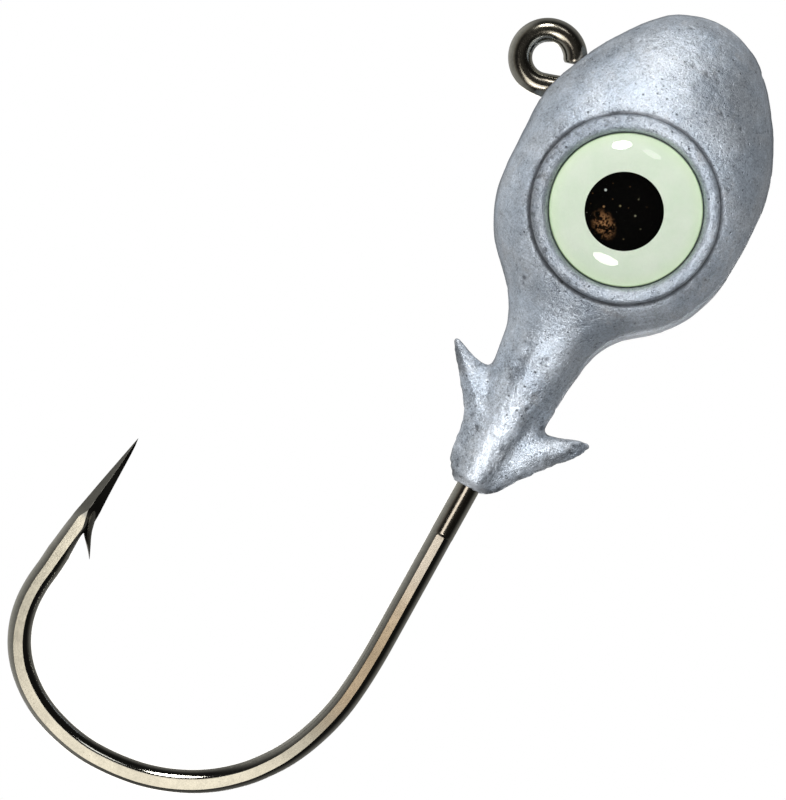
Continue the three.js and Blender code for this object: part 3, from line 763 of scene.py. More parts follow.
# ---------------------------------------------------------------------------
# Eyes
# ---------------------------------------------------------------------------
def lathe(name, profile, side, material, n=160, shift=None):
    """A closed ring or disc turned about the eye's axis. profile is (radius, distance from the middle plane); a radius of 0 closes it."""
    prof = np.array(profile, dtype=np.float64)
    verts, faces, rings = [], [], []
    for r, y in prof:
        ox, oz = shift(r) if shift else (0.0, 0.0)
        if r < 1e-9:
            rings.append([len(verts)] * n)
            verts.append((EYE_X + ox, side * y, EYE_Z + oz))
        else:
            ids = []
            for k in range(n):
                a = 2 * math.pi * k / n
                ids.append(len(verts))
                verts.append((EYE_X + ox + r * math.cos(a), side * y, EYE_Z + oz + r * math.sin(a)))
            rings.append(ids)
    closed = prof[0][0] > 1e-9
    m = len(rings)
    for i in range(m if closed else m - 1):
        p, q = rings[i], rings[(i + 1) % m]
        for k in range(n):
            k2 = (k + 1) % n
            f = [p[k], p[k2], q[k2], q[k]]
            f = [v for j, v in enumerate(f) if v not in f[:j]]
            if len(f) > 2:
                faces.append(f)
    v = np.array(verts)
    tot = 0.0
    for f in faces:
        a, b, c = v[f[0]], v[f[1]], v[f[2]]
        tot += np.dot(a, np.cross(b, c))
        if len(f) == 4:
            tot += np.dot(a, np.cross(c, v[f[3]]))
    if tot < 0:
        faces = [f[::-1] for f in faces]
    o = mesh_object(name, v, faces, material)
    o.data.set_sharp_from_angle(angle=math.radians(50))
    return o


def build_eye(tag, side, mats):
    made = {}
    g0, g1 = SEAT_Y + 0.005, -glue_lo[1] / MM
    f0, f1 = -film_hi[1] / MM, -film_lo[1] / MM
    i0, i1 = -iris_hi[1] / MM, -iris_lo[1] / MM
    d0 = -dome_hi[1] / MM
    r = EYE_R
    # adhesive, squeezed out a little all round
    made["adhesive"] = lathe(f"{tag}_eye_adhesive_pad", [(0, g0), (r - 0.22, g0), (r - 0.17, g0 + 0.02), (r - 0.14, (g0 + g1) / 2), (r - 0.17, g1 - 0.02), (r - 0.22, g1), (0, g1)], side, mats["glue"])
    made["film"] = lathe(f"{tag}_eye_backing_film", [(0, f0), (r - 0.03, f0), (r, f0 + 0.03), (r, f1 - 0.03), (r - 0.03, f1), (0, f1)], side, mats["film"])
    pr = PUPIL_R * 0.972
    made["pupil"] = lathe(f"{tag}_eye_pupil_print", [(0, i0), (pr - 0.01, i0), (pr, i0 + 0.01), (pr, i1 - 0.01), (pr - 0.01, i1), (0, i1)], side, mats["pupil"], n=128, shift=lambda q: (PUPIL_DX, PUPIL_DZ))
    made["iris"] = lathe(f"{tag}_eye_luminous_print_painted_glow", [(pr + 0.015, i0), (r - 0.02, i0), (r, i0 + 0.01), (r, i1 - 0.01), (r - 0.02, i1), (pr + 0.015, i1)], side, mats["iris"], n=128, shift=lambda q: (PUPIL_DX, PUPIL_DZ) if q < pr + 0.1 else (0.0, 0.0))
    # dome: a low meniscus of clear resin, rounded over at its rim
    prof = [(0, d0), (r - 0.05, d0), (r - 0.01, d0 + 0.03)]
    edge_h, crown = 0.30, DOME_TOP - d0
    for t in np.linspace(0, 1, 40):
        # a cap whose rim turns down steeply
        rr = r * (1 - t)
        u = 1 - t
        y = edge_h * (1 - u**14) ** 0.5 + (crown - edge_h) * (1 - u**2.15)
        prof.append((rr if t < 1 else 0.0, d0 + 0.03 + y * (crown - 0.03) / crown))
    made["dome"] = lathe(f"{tag}_eye_clear_dome", prof, side, mats["dome"])
    return made


# ---------------------------------------------------------------------------
# Materials. All of them are worked out from the place on the object, in millimetres.
# ---------------------------------------------------------------------------
LEAD_A, LEAD_B, LEAD_C = (0.392, 0.442, 0.505), (0.46, 0.50, 0.55), (0.455, 0.455, 0.46)
HOOK_B, ROUND = (0.315, 0.295, 0.24), (0.335, 0.33, 0.295)
IRIS_A, IRIS_B, IRIS_PAINTED_GLOW = (0.665, 0.745, 0.64), (0.70, 0.76, 0.675), 0.275


class Graph:
    def __init__(self, tree):
        self.t = tree
        tree.nodes.clear()

    def put(self, socket, value):
        if isinstance(value, bpy.types.NodeSocket):
            self.t.links.new(value, socket)
        elif value is not None:
            if isinstance(value, (tuple, list)) and len(value) == 3 and len(getattr(socket, "default_value", (0, 0, 0))) == 4:
                value = (*value, 1.0)
            socket.default_value = value

    def node(self, kind, **props):
        n = self.t.nodes.new(kind)
        for k, v in props.items():
            setattr(n, k, v)
        return n

    def math(self, op, a, b=None, c=None, clamp=False):
        n = self.node("ShaderNodeMath", operation=op, use_clamp=clamp)
        for s, v in zip(n.inputs, (a, b, c)):
            self.put(s, v)
        return n.outputs[0]

    def add(self, a, b):
        return self.math("ADD", a, b)

    def sub(self, a, b):
        return self.math("SUBTRACT", a, b)

    def mul(self, a, b):
        return self.math("MULTIPLY", a, b)

    def vec(self, op, a, b=None, out=0):
        n = self.node("ShaderNodeVectorMath", operation=op)
        self.put(n.inputs[0], a)
        if b is not None:
            self.put(n.inputs["Scale"] if op == "SCALE" else n.inputs[1], b)
        return n.outputs["Value"] if op in ("DOT_PRODUCT", "LENGTH", "DISTANCE") else n.outputs[0]

    def place(self):
        """The place on the object in millimetres from the model's own origin."""
        c = self.node("ShaderNodeTexCoord").outputs["Object"]
        return self.vec("SUBTRACT", self.vec("SCALE", c, 1000.0), tuple(float(v) for v in ORG))

    def xyz(self, v):
        n = self.node("ShaderNodeSeparateXYZ")
        self.put(n.inputs[0], v)
        return n.outputs[0], n.outputs[1], n.outputs[2]

    def join(self, x, y, z):
        n = self.node("ShaderNodeCombineXYZ")
        for s, v in zip(n.inputs, (x, y, z)):
            self.put(s, v)
        return n.outputs[0]

    def noise(self, p, scale, detail=2.0, rough=0.5, warp=0.0, dim="3D"):
        n = self.node("ShaderNodeTexNoise", noise_dimensions=dim)
        self.put(n.inputs["Vector"], p)
        n.inputs["Scale"].default_value = scale
        n.inputs["Detail"].default_value = detail
        n.inputs["Roughness"].default_value = rough
        n.inputs["Distortion"].default_value = warp
        return n.outputs[0]

    def cells(self, p, scale, random=1.0, feature="F1"):
        n = self.node("ShaderNodeTexVoronoi", feature=feature)
        self.put(n.inputs["Vector"], p)
        n.inputs["Scale"].default_value = scale
        n.inputs["Randomness"].default_value = random
        return n.outputs["Distance"], n.outputs["Color"] if feature != "DISTANCE_TO_EDGE" else None

    def span(self, v, a, b, lo=0.0, hi=1.0, smooth=True):
        n = self.node("ShaderNodeMapRange", interpolation_type="SMOOTHSTEP" if smooth else "LINEAR")
        self.put(n.inputs["Value"], v)
        for k, x in (("From Min", a), ("From Max", b), ("To Min", lo), ("To Max", hi)):
            self.put(n.inputs[k], x)
        return n.outputs[0]

    def mix(self, f, a, b, how="MIX"):
        n = self.node("ShaderNodeMix", data_type="RGBA", blend_type=how)
        self.put(n.inputs[0], f)
        self.put(n.inputs[6], a)
        self.put(n.inputs[7], b)
        return n.outputs[2]

    def tint(self, colour, value):
        """colour times a number."""
        return self.vec("SCALE", colour, value)

    def bump(self, height, dist_mm, strength=1.0, normal=None):
        n = self.node("ShaderNodeBump")
        n.inputs["Strength"].default_value = strength
        n.inputs["Distance"].default_value = dist_mm * MM
        self.put(n.inputs["Height"], height)
        if normal is not None:
            self.put(n.inputs["Normal"], normal)
        return n.outputs[0]

    def blob(self, x, z, cx, cz, rx, rz, turn=0.0, soft=1.0):
        """1 inside an ellipse on the side of the object, easing to 0 outside."""
        c, s = math.cos(turn), math.sin(turn)
        dx, dz = self.sub(x, cx), self.sub(z, cz)
        u = self.mul(self.add(self.mul(dx, c), self.mul(dz, s)), 1 / rx)
        v = self.mul(self.add(self.mul(dx, -s), self.mul(dz, c)), 1 / rz)
        r = self.math("SQRT", self.add(self.mul(u, u), self.mul(v, v)))
        return self.span(r, 1 + soft, max(0.0, 1 - soft), 0.0, 1.0)


def material(name):
    m = bpy.data.materials.new(name)
    m.use_nodes = True
    g = Graph(m.node_tree)
    out = g.node("ShaderNodeOutputMaterial")
    p = g.node("ShaderNodeBsdfPrincipled")
    g.t.links.new(p.outputs[0], out.inputs["Surface"])
    return m, g, p


def lead_material():
    m, g, p = material("cast_lead")
    q = g.place()
    x, y, z = g.xyz(q)
    hollow = g.node("ShaderNodeAttribute", attribute_name="hollow").outputs["Fac"]
    proud = g.node("ShaderNodeAttribute", attribute_name="proud").outputs["Fac"]
    broad = g.noise(q, 0.30, 3, 0.55)
    mid = g.noise(q, 1.2, 4, 0.62, 0.4)
    fine = g.noise(q, 4.6, 4, 0.68)
    specks = g.noise(q, 11.0, 3, 0.7)
    neck = g.span(x, 9.5, 5.0, 0.0, 1.0)
    grit = g.noise(q, 7.5, 2, 0.5)
    tone = g.add(g.add(g.mul(g.sub(broad, 0.5), 0.50), g.mul(g.sub(mid, 0.5), 0.85)), g.add(g.mul(g.sub(fine, 0.5), 0.75), g.mul(g.sub(specks, 0.5), 1.7)))
    tone = g.add(tone, g.mul(g.sub(grit, 0.5), 0.45))
    value = g.add(1.0, g.mul(tone, g.span(neck, 0, 1, 0.95, 1.45)))
    cool = g.mix(g.span(g.noise(q, 0.55, 3, 0.6), 0.35, 0.65), LEAD_A, LEAD_B)
    cool = g.mix(g.mul(g.span(g.noise(q, 0.8, 4, 0.7), 0.55, 0.75), 0.5), cool, LEAD_C)
    col = g.tint(cool, g.math("MAXIMUM", value, 0.2))
    # small dark pits and oxide specks
    d1, c1 = g.cells(q, 2.3)
    r1 = g.xyz(c1)[0]
    pit1 = g.mul(g.span(d1, g.mul(r1, 0.20), g.mul(r1, 0.07), 0.0, 1.0), g.math("GREATER_THAN", r1, g.span(neck, 0, 1, 0.66, 0.30)))
    d2, c2 = g.cells(q, 5.2)
    r2 = g.xyz(c2)[0]
    pit2 = g.mul(g.span(d2, g.mul(r2, 0.28), g.mul(r2, 0.1), 0.0, 1.0), g.math("GREATER_THAN", r2, g.span(neck, 0, 1, 0.6, 0.32)))
    pits = g.math("MAXIMUM", pit1, g.mul(pit2, 0.75))
    col = g.mix(g.mul(pits, g.span(neck, 0, 1, 0.65, 0.78)), col, (0.06, 0.065, 0.075))
    # painted shade: darker in the hollows, creases and pits
    painted_hollow_shade = g.span(g.add(hollow, g.mul(g.sub(fine, 0.5), 0.25)), 0.06, 0.62)
    col = g.mix(g.mul(painted_hollow_shade, 0.70), col, (0.07, 0.075, 0.085))
    # painted highlight: lighter on the proud edges
    painted_edge_highlight = g.span(g.add(proud, g.mul(g.sub(fine, 0.5), 0.3)), 0.10, 0.6)
    col = g.mix(g.mul(painted_edge_highlight, 0.40), col, (0.74, 0.77, 0.82))
    # painted shade on the lip, deeper towards the neck and towards the top, with mottled painted shade round its outer
    # edge on the side of the line tie
    lx, lz = g.sub(x, float(EYE_X) + 0.02), g.sub(z, float(EYE_Z) + 0.04)
    lr = g.math("SQRT", g.add(g.mul(lx, lx), g.mul(lz, lz)))
    lip = g.mul(g.span(lr, LIP_R + 0.25, LIP_R + 0.02), g.span(lr, SOCKET_R - 0.1, SOCKET_R + 0.05))
    col = g.tint(col, g.sub(1.0, g.mul(lip, g.add(g.span(lx, 3.0, -3.0, 0.16, 0.25), g.span(lz, 0.0, 4.0, 0.0, 0.20)))))
    # mottled painted shade round the lip's outer edge
    lip_edge_shade_spots = g.mul(g.span(g.noise(q, 3.4, 3, 0.6), 0.52, 0.62), g.mul(g.span(lr, LIP_R + 0.5, LIP_R + 0.1), g.span(lr, LIP_R - 0.75, LIP_R - 0.3)))
    lip_edge_shade_spots = g.mul(lip_edge_shade_spots, g.span(lz, -1.0, 3.0, 0.25, 1.0))
    col = g.tint(col, g.sub(1.0, g.mul(lip_edge_shade_spots, 0.42)))
    # painted shade: right of the nose, under it, at the collar's end, beside the wire's ridge and along the keepers'
    # outer edges
    def shade(col, blob, depth):
        return g.tint(col, g.sub(1.0, g.mul(blob, depth)))

    ragged = g.join(g.add(x, g.mul(g.sub(broad, 0.5), 2.2)), y, g.add(z, g.mul(g.sub(mid, 0.5), 1.6)))
    rx, ry, rz = g.xyz(ragged)
    col = shade(col, g.blob(rx, rz, 24.0, -1.75, 2.4, 1.6, 0.0, 0.6), 0.38)
    col = shade(col, g.blob(rx, rz, 21.8, -4.6, 2.6, 1.3, 0.5, 0.6), 0.26)
    col = shade(col, g.blob(rx, rz, 10.9, -0.4, 1.0, 3.4, 0.0, 0.7), 0.20)
    col = shade(col, g.blob(rx, rz, 0.9, 0.95, 1.0, 0.7, 0.0, 0.6), 0.22)
    col = shade(col, g.blob(rx, rz, 2.9, -0.95, 2.0, 0.34, -0.06, 0.6), 0.46)
    col = shade(col, g.blob(rx, rz, 5.65, 3.62, 1.0, 0.24, 0.75, 0.6), 0.46)
    col = shade(col, g.blob(rx, rz, 3.85, -3.62, 1.5, 0.24, -0.80, 0.6), 0.48)
    col = shade(col, g.blob(rx, rz, 7.0, 0.6, 1.6, 0.16, 0.0, 0.7), 0.42)
    col = shade(col, g.blob(rx, rz, 7.5, -1.45, 2.6, 0.6, -0.05, 0.6), 0.15)
    # painted highlight: the wire's ridge, the keepers' inner faces and the side of the nose
    painted_highlight = g.mul(g.blob(rx, rz, 2.2, -0.02, 3.2, 0.62, 0.0, 0.5), 0.80)
    painted_highlight = g.math("MAXIMUM", painted_highlight, g.mul(g.blob(rx, rz, 4.15, -3.05, 1.25, 0.24, -1.03, 0.6), 0.95))
    painted_highlight = g.math("MAXIMUM", painted_highlight, g.mul(g.blob(rx, rz, 2.8, -2.2, 1.3, 0.55, -0.75, 0.7), 0.5))
    painted_highlight = g.math("MAXIMUM", painted_highlight, g.mul(g.blob(rx, rz, 6.15, 3.4, 0.9, 0.14, 1.15, 0.6), 0.6))
    painted_highlight = g.math("MAXIMUM", painted_highlight, g.mul(g.blob(rx, rz, 23.9, 1.5, 2.8, 1.2, 0.2, 0.9), 0.5))
    painted_highlight = g.mul(painted_highlight, g.span(g.add(g.mul(fine, 0.6), g.mul(specks, 0.4)), 0.30, 0.62, 0.35, 1.0))
    col = g.mix(g.mul(painted_highlight, 0.62), col, (0.80, 0.84, 0.89))
    # painted shade: darker where the surface is seen edge-on
    facing = g.node("ShaderNodeLayerWeight").outputs["Facing"]
    col = g.tint(col, g.sub(1.0, g.mul(g.span(facing, 0.70, 0.97), 0.42)))
    g.put(p.inputs["Base Color"], col)
    g.put(p.inputs["Metallic"], 0.64)
    rough = g.add(g.add(g.mul(pits, 0.2), g.mul(painted_hollow_shade, 0.15)), g.span(g.add(g.mul(mid, 0.6), g.mul(fine, 0.4)), 0.35, 0.65, 0.27, 0.37))
    g.put(p.inputs["Roughness"], g.add(rough, g.mul(g.span(facing, 0.55, 0.92), 0.38)))
    height = g.add(g.add(g.mul(fine, 1.0), g.add(g.mul(specks, 0.9), g.mul(grit, 0.4))), g.sub(g.mul(mid, 1.7), g.mul(pits, 1.4)))
    g.put(p.inputs["Normal"], g.bump(height, 0.042, 0.9))
    return m


def hook_material():
    m, g, p = material("bronze_hook_steel")
    q = g.place()
    x, y, z = g.xyz(q)
    across = g.math("ABSOLUTE", y)
    flat = g.span(across, 0.50, 0.528, 0.0, 1.0)
    bent = g.math("MAXIMUM", g.span(x, -12.0, -16.0), g.span(z, 5.0, 9.0))
    broad = g.noise(q, 0.55, 3, 0.55)
    mid = g.noise(q, 2.6, 4, 0.6)
    fine = g.noise(q, 9.0, 4, 0.7)
    tiny = g.noise(q, 22.0, 3, 0.7)
    tan = g.mix(g.span(x, -4.5, -9.0), (0.335, 0.30, 0.25), (0.40, 0.315, 0.215))
    warm = g.mix(bent, tan, HOOK_B)
    # painted shade: the flats' reflection is painted dimmer halfway along the shank, in patches
    mid_shank_shade = g.mul(g.mul(g.span(x, -3.5, -9.8), g.span(x, -18.5, -14.5)), g.span(z, 6.0, 2.0))
    mid_shank_shade = g.mul(mid_shank_shade, g.span(g.noise(q, 0.35, 2, 0.5), 0.3, 0.6, 0.8, 1.0))
    warm = g.tint(warm, g.sub(1.0, g.mul(g.mul(mid_shank_shade, flat), 0.50)))
    warm = g.mix(g.span(broad, 0.35, 0.65), warm, g.tint(warm, 1.10))
    # painted highlight: the flats towards the point are painted lighter
    bright = g.mul(g.span(x, -16.5, -13.5), g.span(z, 12.0, 14.0))
    warm = g.tint(warm, g.add(1.0, g.mul(bright, 0.28)))
    # the cut faces of the point and the barb are darker
    cut = g.mul(g.span(g.add(x, g.mul(g.sub(mid, 0.5), 0.8)), -12.0, -10.9), g.span(z, 12.0, 14.0))
    low_barb = g.mul(g.span(z, 16.62, 16.45), g.mul(g.span(z, 12.0, 14.0), g.span(x, -13.2, -12.6)))
    cut = g.math("MAXIMUM", cut, low_barb)
    warm = g.mix(flat, g.tint(ROUND, g.sub(1.0, g.mul(cut, 0.46))), warm)
    value = g.add(1.0, g.add(g.mul(g.sub(mid, 0.5), 0.35), g.add(g.mul(g.sub(fine, 0.5), 0.65), g.mul(g.sub(tiny, 0.5), 0.5))))
    col = g.tint(warm, value)
    d, c = g.cells(q, 6.0)
    r = g.xyz(c)[0]
    nick = g.mul(g.span(d, g.mul(r, 0.20), g.mul(r, 0.08)), g.math("GREATER_THAN", r, 0.76))
    col = g.mix(g.mul(nick, 0.5), col, (0.07, 0.055, 0.04))
    g.put(p.inputs["Base Color"], col)
    g.put(p.inputs["Metallic"], 1.0)
    g.put(p.inputs["Roughness"], g.add(g.span(fine, 0.3, 0.7, 0.035, 0.075), g.mul(flat, 0.12)))
    g.put(p.inputs["Normal"], g.bump(g.add(g.mul(fine, 1.0), g.mul(tiny, 0.6)), 0.0022, 0.8))
    return m


def radial(g):
    q = g.place()
    x, y, z = g.xyz(q)
    dx, dz = g.sub(x, float(EYE_X)), g.sub(z, float(EYE_Z))
    return q, x, y, z, g.math("SQRT", g.add(g.mul(dx, dx), g.mul(dz, dz)))


def iris_material():
    m, g, p = material("luminous_iris_print_painted_glow")
    q, x, y, z, r = radial(g)
    grain = g.noise(q, 9.0, 3, 0.6)
    cloud = g.noise(q, 0.8, 3, 0.6)
    base = g.mix(g.span(cloud, 0.35, 0.65), IRIS_A, IRIS_B)
    col = g.tint(base, g.add(1.0, g.mul(g.sub(grain, 0.5), 0.12)))
    # painted shade: darker green towards the rim, and a thin dark line at the edge next to the socket
    soft = g.span(r, EYE_R - 0.85, EYE_R - 0.12)
    col = g.mix(g.mul(soft, 0.30), col, (0.60, 0.74, 0.47))
    rim = g.span(r, EYE_R - 0.15, EYE_R - 0.02)
    col = g.mix(g.mul(rim, 0.85), col, (0.07, 0.15, 0.04))
    g.put(p.inputs["Base Color"], col)
    g.put(p.inputs["Specular IOR Level"], 0.1)
    g.put(p.inputs["Roughness"], g.span(grain, 0.3, 0.7, 0.5, 0.62))
    # painted light: the print is given a faint emission of its own colour, so it stays bright under the clear dome
    g.put(p.inputs["Emission Color"], col)
    g.put(p.inputs["Emission Strength"], IRIS_PAINTED_GLOW)
    return m


def pupil_material():
    m, g, p = material("black_pupil_print")
    q, x, y, z, r = radial(g)
    grain = g.noise(q, 6.0, 3, 0.6)
    col = g.mix(g.span(grain, 0.3, 0.7), (0.0002, 0.0002, 0.0002), (0.0012, 0.0010, 0.0007))
    d, c = g.cells(q, 4.2)
    cr, cg, cb = g.xyz(c)
    fleck = g.mul(g.span(d, g.mul(cr, 0.20), g.mul(cr, 0.08)), g.math("GREATER_THAN", cr, 0.82))
    gold = g.mix(g.math("GREATER_THAN", cg, 0.72), (0.16, 0.08, 0.03), (0.45, 0.42, 0.38))
    col = g.mix(g.mul(fleck, 0.55), col, gold)
    # small light and dark specks at set places on the pupil
    for fx, fz, fr, fc in ((0.37, 1.37, 0.055, (0.62, 0.66, 0.68)), (0.02, 0.35, 0.05, (0.16, 0.13, 0.07)), (-0.05, -0.55, 0.05, (0.17, 0.16, 0.12)), (-0.95, 0.15, 0.045, (0.15, 0.08, 0.03)),
                           (0.75, -0.3, 0.04, (0.10, 0.09, 0.06)), (-0.5, -1.1, 0.04, (0.09, 0.08, 0.05)), (-0.4, 1.05, 0.05, (0.30, 0.16, 0.07)), (-1.35, -0.6, 0.04, (0.08, 0.06, 0.03))):
        col = g.mix(g.blob(x, z, EYE_X + fx, EYE_Z + fz, fr, fr, 0.0, 0.7), col, fc)
    # a painted reflection: a speckled brown glint low down on the side of the neck
    painted_glint = g.blob(x, z, EYE_X - 1.2, EYE_Z + 0.62, 0.50, 0.36, 0.9, 0.9)
    spark = g.span(g.noise(q, 4.2, 3, 0.75), 0.44, 0.62)
    col = g.mix(g.mul(g.mul(painted_glint, spark), 0.9), col, (0.50, 0.235, 0.10))
    g.put(p.inputs["Base Color"], col)
    g.put(p.inputs["Specular IOR Level"], 0.0)
    g.put(p.inputs["Roughness"], g.span(grain, 0.3, 0.7, 0.35, 0.5))
    return m


def film_material():
    m, g, p = material("eye_backing_film")
    q, x, y, z, r = radial(g)
    n = g.noise(q, 7.0, 3, 0.6)
    col = g.mix(g.span(n, 0.3, 0.7), (0.05, 0.10, 0.035), (0.09, 0.17, 0.06))
    g.put(p.inputs["Base Color"], col)
    g.put(p.inputs["Roughness"], g.span(n, 0.3, 0.7, 0.35, 0.5))
    return m


def glue_material():
    m, g, p = material("eye_adhesive")
    q, x, y, z, r = radial(g)
    n = g.noise(q, 3.0, 4, 0.6)
    col = g.mix(g.span(n, 0.3, 0.7), (0.07, 0.085, 0.05), (0.15, 0.16, 0.11))
    g.put(p.inputs["Base Color"], col)
    g.put(p.inputs["Roughness"], g.span(n, 0.3, 0.7, 0.3, 0.5))
    return m


def dome_material():
    m, g, p = material("clear_resin_dome")
    q, x, y, z, r = radial(g)
    n = g.noise(q, 5.0, 3, 0.6)
    edge = g.span(r, EYE_R - 0.25, EYE_R)
    col = g.mix(g.span(n, 0.3, 0.7), (0.985, 1.0, 0.975), (0.965, 0.99, 0.955))
    # painted shade: the resin is tinted darker green towards its rim
    col = g.mix(g.mul(edge, 0.5), col, (0.80, 0.90, 0.70))
    g.put(p.inputs["Base Color"], col)
    g.put(p.inputs["Transmission Weight"], 1.0)
    # the flat underside is wetted by the print, so nothing is reflected there
    under = -dome_hi[1] / MM
    g.put(p.inputs["IOR"], g.span(g.math("ABSOLUTE", y), under + 0.004, under + 0.02, 1.0, 1.5, smooth=False))
    g.put(p.inputs["Roughness"], g.span(n, 0.3, 0.7, 0.004, 0.016))
    return m


# ---------------------------------------------------------------------------
# Pieces
# ---------------------------------------------------------------------------
lead = lead_material()
steel = hook_material()
mats = {"iris": iris_material(), "pupil": pupil_material(), "film": film_material(), "glue": glue_material(), "dome": dome_material()}

hook, wire = build_hook(steel)
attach(hook, "root")
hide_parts("jig_hook")
note("hook")

wire3 = np.stack([wire[:, 0], wire[:, 1]], 1)
head = build_head(lead, wire3)
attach(head, "root")
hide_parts("head_casting")
note(f"head, {len(head.data.polygons)} faces")

for tag, side in (("right", -1), ("left", 1)):
    eye = build_eye(tag, side, mats)
    for part, o in eye.items():
        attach(o, "root")
        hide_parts(f"{tag}_eye_{part}")
    eye["dome"].visible_shadow = False
note("eyes")

# ---------------------------------------------------------------------------
# Studio
# ---------------------------------------------------------------------------
UP = Vector((0.8747, 0, 0.4847))
RIGHT = Vector((0.4847, 0, -0.8747))
NEAR = Vector((0, -1, 0))
scene = bpy.context.scene
KEY_TOP, KEY_LOW, KEY_SIDE, PANEL, SHEEN, LEAD_TOP = 27.0, 11.0, 3.2, 2.6, 9.2, 9.8
scene.view_settings.view_transform = "Standard"
scene.view_settings.look = "None"
scene.view_settings.exposure = 0.0
scene.view_settings.gamma = 1.0

world = bpy.data.worlds.new("studio")
scene.world = world
world.use_nodes = True
world.cycles.sampling_method = "NONE"
g = Graph(world.node_tree)
out = g.node("ShaderNodeOutputWorld")
ray = g.node("ShaderNodeLightPath")
d = g.vec("NORMALIZE", g.node("ShaderNodeTexCoord").outputs["Generated"])
up = g.vec("DOT_PRODUCT", d, tuple(UP))
right = g.vec("DOT_PRODUCT", d, tuple(RIGHT))
near = g.vec("DOT_PRODUCT", d, tuple(NEAR))
dx, dy, dz = g.xyz(d)
soft = g.add(g.add(0.40, g.mul(g.math("MAXIMUM", near, 0.0), 0.75)), g.mul(g.math("MAXIMUM", g.mul(near, -1.0), 0.0), 0.45))
soft = g.math("MAXIMUM", g.add(soft, g.add(g.mul(dz, 0.50), g.mul(dx, 0.28))), 0.08)
left = g.vec("DOT_PRODUCT", d, (-0.40, 0.0, 0.917))
grey = g.mul(g.span(left, 0.20, 0.70), g.span(near, 0.80, 0.20, 0.0, 0.38))
glow = g.span(g.math("ABSOLUTE", near), math.cos(math.radians(38.0)), 1.0, 0.0, 0.03)
rim = g.mul(g.span(near, 0.35, -0.60, 0.0, 0.31), g.span(dx, -0.85, -0.15, 0.45, 1.0))
gloss = g.add(g.add(0.016, grey), g.add(glow, rim))
gloss_col = g.tint(g.join(1.0, 0.985, 0.95), gloss)
soft_col = g.tint(g.join(0.975, 0.995, 1.03), soft)
col = g.mix(ray.outputs["Is Glossy Ray"], soft_col, gloss_col)
col = g.mix(ray.outputs["Is Camera Ray"], col, (1.0, 1.0, 1.0))
bg = g.node("ShaderNodeBackground")
g.put(bg.inputs["Color"], col)
g.t.links.new(bg.outputs[0], out.inputs["Surface"])

eye_at = Vector(row((EYE_X, 0, EYE_Z)))
hook_only = bpy.data.collections.new("hook_only")
scene.collection.children.link(hook_only)
hook_only.objects.link(hook)
lead_only = bpy.data.collections.new("lead_only")
scene.collection.children.link(lead_only)
lead_only.objects.link(head)
not_lead = bpy.data.collections.new("not_lead")
scene.collection.children.link(not_lead)
not_lead.objects.link(head)
not_lead.collection_objects[0].light_linking.link_state = "EXCLUDE"


def lamp(name, place, direction, size_along, size_across, radiance, colour, along, shape="ELLIPSE", only=None):
    """A soft panel at a place, facing against the direction. size_along runs along the given vector."""
    data = bpy.data.lights.new(name, "AREA")
    data.shape = shape
    data.size, data.size_y = size_along, size_across
    area = size_along * size_across * (math.pi / 4 if shape == "ELLIPSE" else 1.0)
    data.energy = radiance * math.pi * area
    data.color = colour
    o = bpy.data.objects.new(name, data)
    zz = Vector(direction).normalized()
    xx = Vector(along)
    xx = (xx - zz * xx.dot(zz)).normalized()
    yy = zz.cross(xx)
    o.matrix_world = Matrix.Translation(Vector(place)) @ Matrix((xx, yy, zz)).transposed().to_4x4()
    o.visible_camera = False
    scene.collection.objects.link(o)
    if only:
        o.light_linking.receiver_collection = only
    return o


def from_eye(name, direction, distance, size_along, size_across, radiance, colour, along, **k):
    n = Vector(direction).normalized()
    return lamp(name, eye_at + n * distance, n, size_along, size_across, radiance, colour, along, **k)


from_eye("key_top", (0.634, -0.690, 0.378), 0.30, 0.066, 0.085, KEY_TOP, (1.0, 0.99, 0.975), (-0.545, 0, 0.839), only=not_lead)
from_eye("lead_top", (0.62, -0.690, 0.42), 0.30, 0.13, 0.14, LEAD_TOP, (1.0, 0.995, 0.985), (-0.545, 0, 0.839), only=lead_only)
from_eye("key_low", (-0.504, -0.860, -0.070), 0.30, 0.082, 0.038, KEY_LOW, (1.0, 0.985, 0.965), (0.13, 0, -0.99))
from_eye("key_side", (0.655, -0.755, 0.03), 0.30, 0.062, 0.04, KEY_SIDE, (0.98, 0.99, 1.0), (0, 0, 1))
for side in (-1, 1):
    from_eye(f"sheen_{'near' if side < 0 else 'far'}", (-0.15, side * 0.97, -0.13), 0.30, 0.16, 0.15, SHEEN, (0.99, 0.995, 1.0), (1, 0, 0), only=lead_only)
    lamp(f"panel_{'near' if side < 0 else 'far'}", row((-20.5, side * 60.0, 8.0)), (0, side, 0), 0.059, 0.023, PANEL, (1.0, 0.975, 0.94), (1, 0, 0), shape="RECTANGLE", only=hook_only)

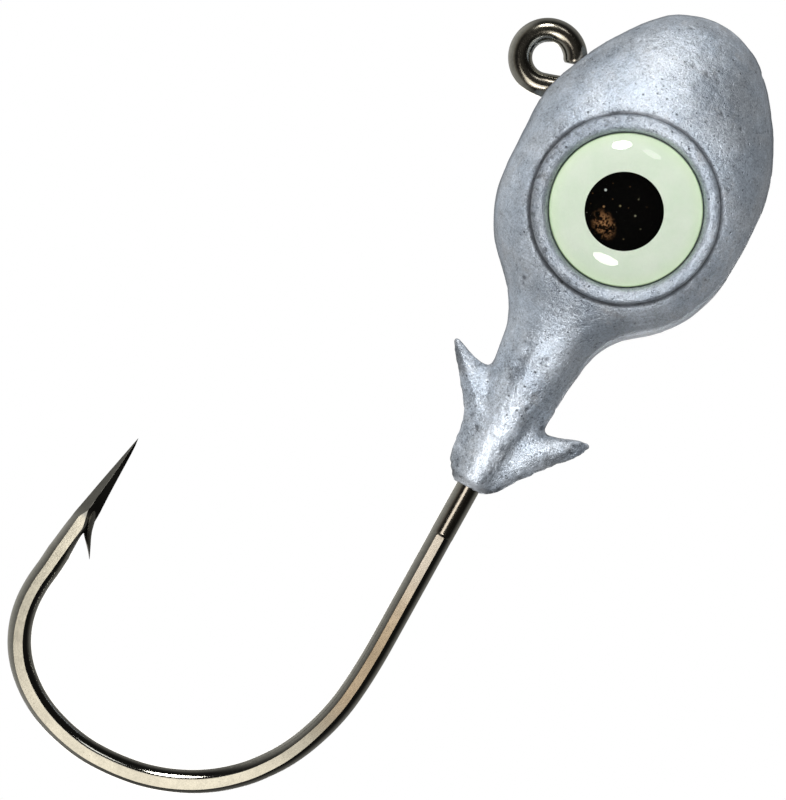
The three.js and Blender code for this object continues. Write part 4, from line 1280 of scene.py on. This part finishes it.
# floor: catches the soft shadow, fades to white where it is seen edge-on
bpy.ops.mesh.primitive_circle_add(vertices=96, radius=1.4, fill_type="NGON", location=(0, 0, -0.0002))
floor = bpy.context.object
floor.name = "studio_floor"
fm = bpy.data.materials.new("pale_floor")
fm.use_nodes = True
g = Graph(fm.node_tree)
out = g.node("ShaderNodeOutputMaterial")
ray = g.node("ShaderNodeLightPath")
geo = g.node("ShaderNodeNewGeometry")
slant = g.math("ABSOLUTE", g.vec("DOT_PRODUCT", geo.outputs["Incoming"], geo.outputs["Normal"]))
away = g.vec("LENGTH", geo.outputs["Position"])
n = g.noise(g.node("ShaderNodeTexCoord").outputs["Object"], 900.0, 3, 0.6)
dif = g.node("ShaderNodeBsdfDiffuse")
g.put(dif.inputs["Color"], g.tint(g.join(0.80, 0.80, 0.795), g.span(n, 0.3, 0.7, 0.985, 1.015)))
emi = g.node("ShaderNodeEmission")
emi.inputs["Color"].default_value = (1, 1, 1, 1)
white = g.math("MAXIMUM", g.span(slant, 0.20, 0.12), g.span(away, 0.05, 0.35))
white = g.mul(white, ray.outputs["Is Camera Ray"])
mixed = g.node("ShaderNodeMixShader")
g.put(mixed.inputs[0], white)
g.t.links.new(dif.outputs[0], mixed.inputs[1])
g.t.links.new(emi.outputs[0], mixed.inputs[2])
g.t.links.new(mixed.outputs[0], out.inputs["Surface"])
floor.data.materials.append(fm)
floor.visible_diffuse = floor.visible_glossy = floor.visible_transmission = floor.visible_shadow = False

# camera: square on to the side of the head, rolled so that the nose points up and to the right
cam = bpy.data.cameras.new("camera")
cam_o = bpy.data.objects.new("camera", cam)
scene.collection.objects.link(cam_o)
scene.camera = cam_o
cam.lens, cam.sensor_width, cam.sensor_fit = 400.0, 36.0, "AUTO"
TALL = 0.0416
aim = Vector((-0.000532, 0, 0.01217))
cam_o.matrix_world = Matrix.Translation(aim + NEAR * (cam.lens * TALL / cam.sensor_width)) @ Matrix((RIGHT, UP, NEAR)).transposed().to_4x4()
cam.clip_start, cam.clip_end = 0.01, 5.0

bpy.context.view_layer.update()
note("scene ready")
